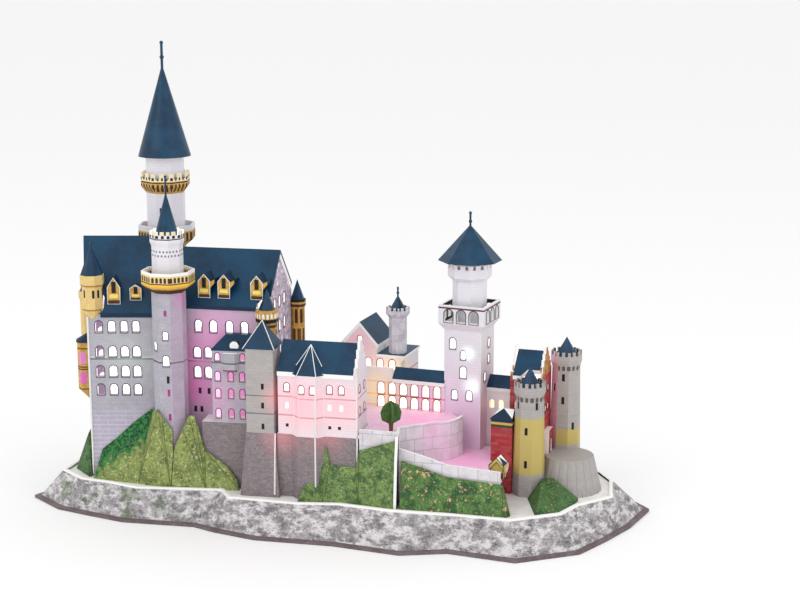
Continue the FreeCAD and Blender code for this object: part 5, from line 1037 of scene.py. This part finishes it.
def put_gate():
    def quoins(finish):
        stones = finish.stones(1.6, 3.2)
        top = finish.net.step(finish.place["Height"], 103.0, 105.0)
        finish.dye("gold", top, stones["Tone"], 0.9)

    wall_finish("gatehouse print", ("gatehouse_walls",), "red", "red_deep", block("gate", 23.0, 30.0),
                joints=0.15, room="rose", extra=quoins)

    def cornice(finish):
        net = finish.net
        finish.dye("bush", finish.band(70.6, 72.2))
        finish.dye("gold", finish.band(72.4, 74.0))
        finish.dye("roof_deep", net.step(finish.place["Height"], 74.2, 74.6))
        lodge = net.step(finish.axis("Point", 1), -68.0, -72.0)
        up = finish.axis("Normal", 2)
        finish.dye("gold", lodge, 0.95)
        finish.dye("roof_deep", lodge, net.step(up, 0.3, 0.5))
        finish.dye("brown", lodge, finish.arches(4.0, 1.6, 45.0, 49.5))

    middle, half, turn = block("gate_annex", 15.5, 12.0)
    wall_finish("gate annex print", ("gate_annex",), "red", "red_deep",
                ([middle, block("lodge", 8.4, 8.0)[0]], half, turn), joints=0.15, extra=cornice)
    roof_finish("gatehouse roof print", ("gatehouse_roof",), block("gate", 23.0, 30.0))

    def lower(finish):
        net = finish.net
        north = net.step(finish.axis("Point", 1), -32.0, -28.0)
        south = net.flip(north)
        finish.dye("gold", south, finish.band(38.0, 79.0, 0.6), 0.92)
        finish.dye("gold", north, finish.band(50.0, 62.0, 0.6), 0.92)
        finish.dye("corbel", south, finish.arches(3.6, 2.2, 91.0, 94.6))
        finish.dye("corbel", north, finish.arches(3.6, 2.2, 105.0, 108.6))
        # Painted light: the west-facing faces of the north tower are painted pale pink, as light falling on
        # that side.
        west = net.step(finish.axis("Normal", 0), -0.4, -0.7)
        finish.dye((250, 200, 224), north, west, 0.8)

    # room=ink paints the gate towers' inner faces near-black: painted shade of the unlit inside.
    wall_finish("gate tower print", ("gate_towers",), "grey_stone", "grey_stone",
                (GATE_TOWERS, (11.0, 11.0), 0.0), square=0.0, joints=0.12, extra=lower, room="ink",
                cut="grey_stone")

    def planks(finish):
        net = finish.net
        finish.dye("rubble_deep", finish.arches(3.6, 0.3, 20.0, 60.0), 0.6)
        top = net.step(finish.axis("Normal", 2), 0.9, 0.95)
        boards = finish.stones(2.4, 40.0, 0.2)
        finish.dye((240, 206, 222), top)
        finish.dye((170, 110, 140), top, boards["Joints"], 0.5)

    wall_finish("bastion print", ("round_bastion",), "grey_stone", "grey_stone",
                ((169.0, -33.0, 0.0), (23.0, 23.0), 0.0), square=0.0, joints=0.05, cut="grey_stone",
                extra=planks)


def grass_finish(name, nodes, first, second, bush, dots=0.25, extra=None):
    finish = Finish(name)
    net = finish.net
    finish.start(first, second, 9.0, 1.2, 0.55)
    point = finish.place["Point"]
    drift = net.noise(point, 11.0, 3.0, 0.65)
    finish.dye("bush", net.step(drift, 0.50, 0.60), bush)
    flecks = net.step(net.noise(point, 2.6, 4.0, 0.75), 0.52, 0.62)
    finish.dye((52, 56, 26), flecks, 0.62)
    pale = net.step(net.noise(net.vector("ADD", point, (9.0, 4.0, 7.0)), 1.8, 2.0, 0.6), 0.58, 0.66)
    finish.dye((222, 206, 170), pale, dots)
    if extra:
        extra(finish)
    finish.relief = net.noise(point, 0.8, 2.0, 0.6)
    wear(nodes, finish.done(bump=0.4))


def put_ground():
    def leaves(finish):
        """Bushes printed where the folded hills meet the palace."""
        net = finish.net
        point = finish.place["Point"]
        x, y, _ = net.split(point)
        ragged = net.spread(net.noise(point, 4.0, 3.0, 0.6), 0.3, 0.7, -3.0, 3.0)
        wall = net.maths("ADD", net.times(net.maths("SUBTRACT", x, -150.0), 0.05), -62.0)
        near = net.step(net.maths("ADD", net.maths("SUBTRACT", y, wall), ragged), 1.0, 5.0)
        leaf = net.step(net.noise(point, 2.0, 3.0, 0.7), 0.46, 0.56)
        finish.over(near, net.mix(leaf, paint(14, 62, 32), paint(46, 128, 60)))

    grass_finish("palace hill print", ("palace_hills",), tone("grass"), paint(118, 134, 70), 0.35, 0.6,
                 leaves)
    grass_finish("grass print", ("bower_hill", "north_slope"), paint(132, 160, 92), tone("grass_deep"), 0.6)

    def patches(finish):
        net = finish.net
        peach = net.step(net.noise(finish.place["Point"], 5.0, 3.0, 0.7), 0.60, 0.66)
        finish.dye((226, 176, 146), peach, 0.75)

    grass_finish("court slope print", ("court_slope",), paint(96, 140, 70), tone("grass_deep"), 0.8,
                 extra=patches)
    grass_finish("gate hill print", ("gate_hill", "west_slope"), paint(70, 120, 62), tone("grass_deep"), 0.8)

    finish = Finish("ridge print")
    net = finish.net
    finish.start(tone("bush"), paint(30, 34, 30), 5.0, 1.0, 0.5)
    out = net.step(net.maths("ABSOLUTE", finish.axis("Normal", 0)), 0.7, 0.5)
    finish.dye("foam", out)
    wear(("ridge_rib",), finish.done())

    finish = Finish("tree print")
    net = finish.net
    finish.start(paint(84, 112, 50), tone("bush"), 2.5, 0.8, 0.6)
    low = net.step(finish.place["Height"], 79.0, 75.0)
    finish.dye((120, 60, 44), low, net.noise(finish.place["Point"], 2.0))
    wear(("court_trees",), finish.done())

    finish = Finish("rock print")
    net = finish.net
    point = finish.place["Point"]
    long_point = net.vector("MULTIPLY", point, (1.0, 1.0, 1.7))
    finish.start(tone("rock"), tone("rock_deep"), 7.0, 1.1, 0.45)
    pale = net.step(net.noise(long_point, 9.0, 6.0, 0.75), 0.44, 0.60)
    finish.dye((226, 222, 224), pale, 0.85)
    marks = net.step(net.noise(net.vector("ADD", long_point, (31.0, 7.0, 3.0)), 3.0, 6.0, 0.8), 0.46, 0.36)
    finish.dye((66, 60, 62), marks, 0.75)
    x, y, z = net.split(point)
    mossy = net.times(net.step(net.noise(point, 14.0, 3.0, 0.6), 0.50, 0.60), net.step(x, -80.0, -150.0))
    finish.dye((84, 108, 60), mossy, 0.6)
    finish.dye("foam", net.step(z, 22.0, 22.8))
    finish.dye("foam", net.step(finish.axis("Normal", 2), 0.92, 0.97))
    finish.relief = net.noise(point, 2.2, 4.0, 0.65)
    wear(("rock_skirts_south", "rock_skirts_north", "rock_skirt_east"), finish.done(bump=0.5))

    finish = Finish("base board print")
    finish.start(tone("board"), paint(122, 110, 114), 10.0, 1.5, 0.5)
    wear(("plinth_board",), finish.done())
    finish = Finish("raw card")
    finish.start(tone("foam"), paint(226, 224, 220), 12.0, 1.0, 0.3)
    wear(("deck_board", "base_ribs"), finish.done())
    finish = Finish("battery box plastic")
    finish.start(paint(30, 30, 32), paint(40, 40, 43), 5.0, 0.5, 0.4)
    finish.gloss = 0.5
    wear(("battery_box",), finish.done())
    finish = Finish("lamp plastic")
    finish.start(paint(245, 248, 250), paint(225, 232, 240), 3.0, 0.6, 0.3)
    finish.light = tone("cool")
    finish.gloss = 0.2
    wear(("led_lamps",), finish.done(strength=2.0))


def front_faces(name, least):
    """Flat upright faces of a node that look to the front, as corner loops with their outward direction."""
    mesh = merged(name)
    bmesh.ops.dissolve_limit(mesh, angle_limit=math.radians(1.0), verts=mesh.verts, edges=mesh.edges)
    found = []
    for face in mesh.faces:
        if face.normal.y < -0.9 and face.calc_area() > least * MM * MM:
            found.append(([v.co.copy() for v in face.verts], face.normal.copy()))
    mesh.free()
    return found


def rect(middle, side, width, low, high):
    """Corners of an upright rectangle about a middle line."""
    half = side * width / 2
    points = []
    for sign, height in ((-1, low), (1, low), (1, high), (-1, high)):
        point = middle + half * sign
        points.append(Vector((point.x, point.y, height)))
    return points


def put_dormer_fronts():
    """Printed windows and white edges on the dormers' fronts."""
    dark, gold, brown, white = [], [], [], []
    for points, normal in front_faces("palace_dormers", 18.0):
        side = Vector((0, 0, 1)).cross(normal).normalized()
        middle = sum(points, Vector()) / len(points)
        spans = [p.dot(side) for p in points]
        centre = (max(spans) + min(spans)) / 2
        middle += side * (centre - middle.dot(side))
        low = min(p.z for p in points)
        high = max(p.z for p in points)
        width = max(spans) - min(spans)
        rise = high - low
        out = normal * 0.35 * MM
        for pile, share, bottom, top in ((dark, 0.34, 0.42, 0.86), (gold, 0.70, 0.22, 0.38),
                                         (brown, 0.96, 0.0, 0.14)):
            shape = rect(middle + out, side, width * share, low + rise * bottom, low + rise * top)
            pile.append((shape, normal, 0.0))
        white.append([p + normal * 0.2 * MM for p in points])
    panes("dormer_windows", dark, 0.0, ink_material("dormer opening", tone("ink")))
    panes("dormer_bands", gold, 0.0, ink_material("dormer band", paint(250, 226, 120)))
    panes("dormer_sills", brown, 0.0, ink_material("dormer sill", tone("brown")))
    foam = ink_material("dormer foam edge", tone("foam"))
    printed_lines("dormer_edges", white, 0.8 * MM, foam)


SLIT_WIDTH = 2.7 * MM        # openings narrower than this are printed slits
BLACK_SLIT = 101.6 * MM      # height of the stair turret's one black slit
PALE_FROM = 80.0 * MM        # the bower's slits above this height are lit
SLIT_DEPTH = 0.4 * MM


def put_lines():
    """Window outlines, panes of the printed slits and scored fold lines."""
    outline = sizes().outline
    groups = {
        "palace": (PALACE_WALLS, "palace_card", paint(104, 84, 112)),
        "bower": (("annex_walls", "bower_walls", "bower_tower_walls"), "bower_card", paint(150, 84, 104)),
        "hall": (("hall_walls", "gallery_walls"), "bower_card", paint(180, 84, 84)),
        "square_tower": (("square_tower_shaft", "square_tower_gallery", "square_tower_drum", "hall_turret"),
                         "tower_card", paint(84, 74, 88)),
        "gate": (("gatehouse_walls", "gate_towers", "gate_annex"), "gate_card", paint(70, 40, 40)),
        "turret": (("stair_turret_shaft", "stair_turret_drum", "main_tower_shaft"), "tower_card",
                   paint(110, 100, 116)),
    }
    black = ink_material("printed opening", tone("ink"))
    pink = ink_material("lit slit", paint(150, 40, 118), paint(170, 40, 130), 0.2)
    rose = ink_material("pale window", paint(255, 236, 236), paint(255, 226, 222), 0.6)
    for name, (nodes, slot, shade) in groups.items():
        material = ink_material(name.replace("_", " ") + " outline", shade)
        chains = []
        slits = {"dark": [], "lit": [], "pale": []}
        for node in nodes:
            middle = Vector(PALACE_MIDDLE if node in PALACE_WALLS else middle_of(node)) * MM
            if node == "gate_towers":
                rims = []
                for x, y, _ in GATE_TOWERS:
                    axis = Vector((x, y, 0.0)) * MM
                    rims += [r for r in window_rims(node, axis) if (r[0][0] - axis).xy.length < 14 * MM]
            else:
                rims = window_rims(node, middle)
            for rim in rims:
                points, normal, width = rim
                centre = sum(points, Vector()) / len(points)
                if width < SLIT_WIDTH:
                    kind = "dark"
                    if node == "stair_turret_shaft" and abs(centre.z - BLACK_SLIT) > 3 * MM:
                        kind = "lit"
                    if node == "bower_walls" and centre.z > PALE_FROM:
                        kind = "pale"
                    slits[kind].append(rim)
                    continue
                grow = 1.0 + outline / width
                chains.append([centre + (p - centre) * grow + normal * 0.05 * MM for p in points])
        if chains:
            printed_lines(name + "_window_outlines", chains, outline, material)
        for kind, ink in (("dark", black), ("lit", pink), ("pale", rose)):
            if slits[kind]:
                panes(name + "_" + kind + "_slits", slits[kind], SLIT_DEPTH, ink)
    score = ink_material("scored fold", paint(84, 90, 44))
    for node in ("palace_hills", "bower_hill", "court_slope", "gate_hill"):
        printed_lines(node + "_folds", fold_edges(node), sizes().fold, score, closed=False)
    put_dormer_fronts()


def put_foam_edges():
    """White foam shows where boards end or their corners were cut."""
    foam = ink_material("foam edge", tone("foam"))

    def edges(name, slot, width, chains):
        printed_lines(name, chains, width * MM, foam, closed=False)

    def upright(front, along, back, low, high):
        return [at(front, along, back, low), at(front, along, back, high)]

    roofs = fold_edges("bower_bay_roof") + fold_edges("bower_tower_roof")
    edges("bower_roof_foam_edges", "roof_card", 0.7, roofs)
    edges("palace_foam_edges", "palace_card", 1.6, [upright("palace_west", 0.4, -0.2, 24.0, 142.0)])
    edges("bower_foam_edges_1", "bower_card", 1.2,
          [upright("bower", 28.5, -5.1, 69.0, 111.5), upright("bower", 57.0, 0.0, 69.0, 111.5),
           upright("bower", 28.5, -6.0, 24.0, 68.0), upright("bower", 57.4, -0.8, 24.0, 68.0)])
    edges("bower_foam_edges_2", "bower_card", 0.5,
          [upright("bower", 16.5, -5.1, 69.0, 111.5), upright("bower", 33.5, -0.1, 69.0, 111.5),
           upright("bower", 11.5, -0.1, 69.0, 111.5)])
    edges("bower_tower_foam_edge", "stone_card", 1.4,
          [[at("bower_tower", 19.8, -4.0, 24.0), at("bower_tower", 19.8, 0.0, 68.0)]])
    (x, y, _), (half, _), turn = SQUARE_TOWER
    c, s = math.cos(math.radians(turn)), math.sin(math.radians(turn))
    corner = [Vector((x + half * (c + s), y + half * (s - c), z)) * MM for z in (46.0, 131.0)]
    edges("square_tower_foam_edge", "tower_card", 1.2, [corner])


CAMERA_PLACE = (0.2019, -1.1380, 0.39765)
CAMERA_TURN = (78.0, 0.0, 8.0)      # degrees
LENS, SENSOR = 72.0, 36.0           # millimetres
FLOOR_SIZE = 60.0
WORLD_LIGHT = 0.96                  # strength of the sky on the castle; the camera sees it at 1
AIM = (0.0, 0.0, 0.12)
LIGHTS = (("key_light", (-0.9, -1.3, 1.5), 1.2, 7.0), ("fill_light", (1.3, -0.9, 0.9), 1.4, 3.0))


def put_stage():
    bpy.ops.mesh.primitive_plane_add(size=FLOOR_SIZE, location=(0.0, 0.0, 0.0))
    floor = bpy.context.object
    floor.name = "studio_floor"
    material = bpy.data.materials.new("studio floor")
    material.use_nodes = True
    shader = material.node_tree.nodes["Principled BSDF"]
    shader.inputs["Base Color"].default_value = (0.96, 0.96, 0.96, 1.0)
    shader.inputs["Roughness"].default_value = 0.9
    shader.inputs["Specular IOR Level"].default_value = 0.2
    floor.data.materials.append(material)
    world = bpy.context.scene.world or bpy.data.worlds.new("studio")
    bpy.context.scene.world = world
    world.use_nodes = True
    net = Net(world.node_tree)
    backdrop = world.node_tree.nodes["Background"]
    backdrop.inputs["Color"].default_value = WHITE
    seen = net.add("ShaderNodeLightPath").outputs["Is Camera Ray"]
    net.feed(backdrop.inputs["Strength"], net.spread(seen, 0.0, 1.0, WORLD_LIGHT, 1.0))
    bpy.context.scene.view_settings.view_transform = "Standard"
    for name, place, size, power in LIGHTS:
        light = bpy.data.lights.new(name, "AREA")
        light.size = size
        light.energy = power
        lamp = new_object(name, light)
        lamp.location = place
        lamp.rotation_euler = (Vector(AIM) - Vector(place)).to_track_quat("-Z", "Y").to_euler()
    camera = bpy.data.cameras.new("photo_view")
    camera.lens = LENS
    camera.sensor_width = SENSOR
    camera.clip_start = 0.05
    view = new_object("photo_view", camera)
    view.location = CAMERA_PLACE
    view.rotation_euler = [math.radians(angle) for angle in CAMERA_TURN]
    bpy.context.scene.camera = view


class CASTLE_OT_stage(bpy.types.Operator):
    """Floor, light and camera"""
    bl_idname = "castle.stage"
    bl_label = "Stage"

    def execute(self, context):
        put_stage()
        return {"FINISHED"}


class CASTLE_OT_ground(bpy.types.Operator):
    """Base, rock and grass"""
    bl_idname = "castle.ground"
    bl_label = "Ground"

    def execute(self, context):
        put_ground()
        return {"FINISHED"}


class CASTLE_OT_palace(bpy.types.Operator):
    """Palace walls, gables and roofs"""
    bl_idname = "castle.palace"
    bl_label = "Palace"

    def execute(self, context):
        put_palace()
        return {"FINISHED"}


class CASTLE_OT_ochre(bpy.types.Operator):
    """Ochre dormers, bay and corner turrets"""
    bl_idname = "castle.ochre"
    bl_label = "Dormers and turrets"

    def execute(self, context):
        put_ochre()
        return {"FINISHED"}


class CASTLE_OT_stair_turret(bpy.types.Operator):
    """Stair turret and its balcony"""
    bl_idname = "castle.stair_turret"
    bl_label = "Stair turret"

    def execute(self, context):
        put_stair_turret()
        return {"FINISHED"}


class CASTLE_OT_towers(bpy.types.Operator):
    """White towers and spires"""
    bl_idname = "castle.towers"
    bl_label = "Towers"

    def execute(self, context):
        put_towers()
        return {"FINISHED"}


class CASTLE_OT_bower(bpy.types.Operator):
    """Annex, bower tower and bower"""
    bl_idname = "castle.bower"
    bl_label = "Bower"

    def execute(self, context):
        put_bower()
        return {"FINISHED"}


class CASTLE_OT_courts(bpy.types.Operator):
    """Hall, galleries, square tower and courts"""
    bl_idname = "castle.courts"
    bl_label = "Courts"

    def execute(self, context):
        put_courts()
        return {"FINISHED"}


class CASTLE_OT_gate(bpy.types.Operator):
    """Gatehouse, gate towers and bastion"""
    bl_idname = "castle.gate"
    bl_label = "Gatehouse"

    def execute(self, context):
        put_gate()
        return {"FINISHED"}


class CASTLE_OT_lines(bpy.types.Operator):
    """Window outlines, slits and fold lines"""
    bl_idname = "castle.lines"
    bl_label = "Printed lines"

    def execute(self, context):
        put_lines()
        return {"FINISHED"}


class CASTLE_OT_foam(bpy.types.Operator):
    """White edges of the foam card"""
    bl_idname = "castle.foam"
    bl_label = "Foam edges"

    def execute(self, context):
        put_foam_edges()
        return {"FINISHED"}


JOBS = (CASTLE_OT_stage, CASTLE_OT_ground, CASTLE_OT_palace, CASTLE_OT_ochre,
        CASTLE_OT_stair_turret, CASTLE_OT_towers, CASTLE_OT_bower, CASTLE_OT_courts,
        CASTLE_OT_gate, CASTLE_OT_lines, CASTLE_OT_foam)


class CASTLE_PT_panel(bpy.types.Panel):
    """Lists the castle's parts"""
    bl_idname = "CASTLE_PT_panel"
    bl_label = "Card castle"
    bl_space_type = "VIEW_3D"
    bl_region_type = "UI"
    bl_category = "Castle"

    def draw(self, context):
        for job in JOBS:
            self.layout.operator(job.bl_idname)


CLASSES = (CastleColours, CastleSizes) + JOBS + (CASTLE_PT_panel,)


def register():
    for item in CLASSES:
        bpy.utils.register_class(item)
    bpy.types.Scene.castle_colours = PointerProperty(type=CastleColours)
    bpy.types.Scene.castle_sizes = PointerProperty(type=CastleSizes)


def unregister():
    del bpy.types.Scene.castle_sizes
    del bpy.types.Scene.castle_colours
    for item in reversed(CLASSES):
        bpy.utils.unregister_class(item)


def main():
    register()
    for job in JOBS:
        getattr(bpy.ops.castle, job.bl_idname.split(".")[1])()


if __name__ == "__main__":
    main()
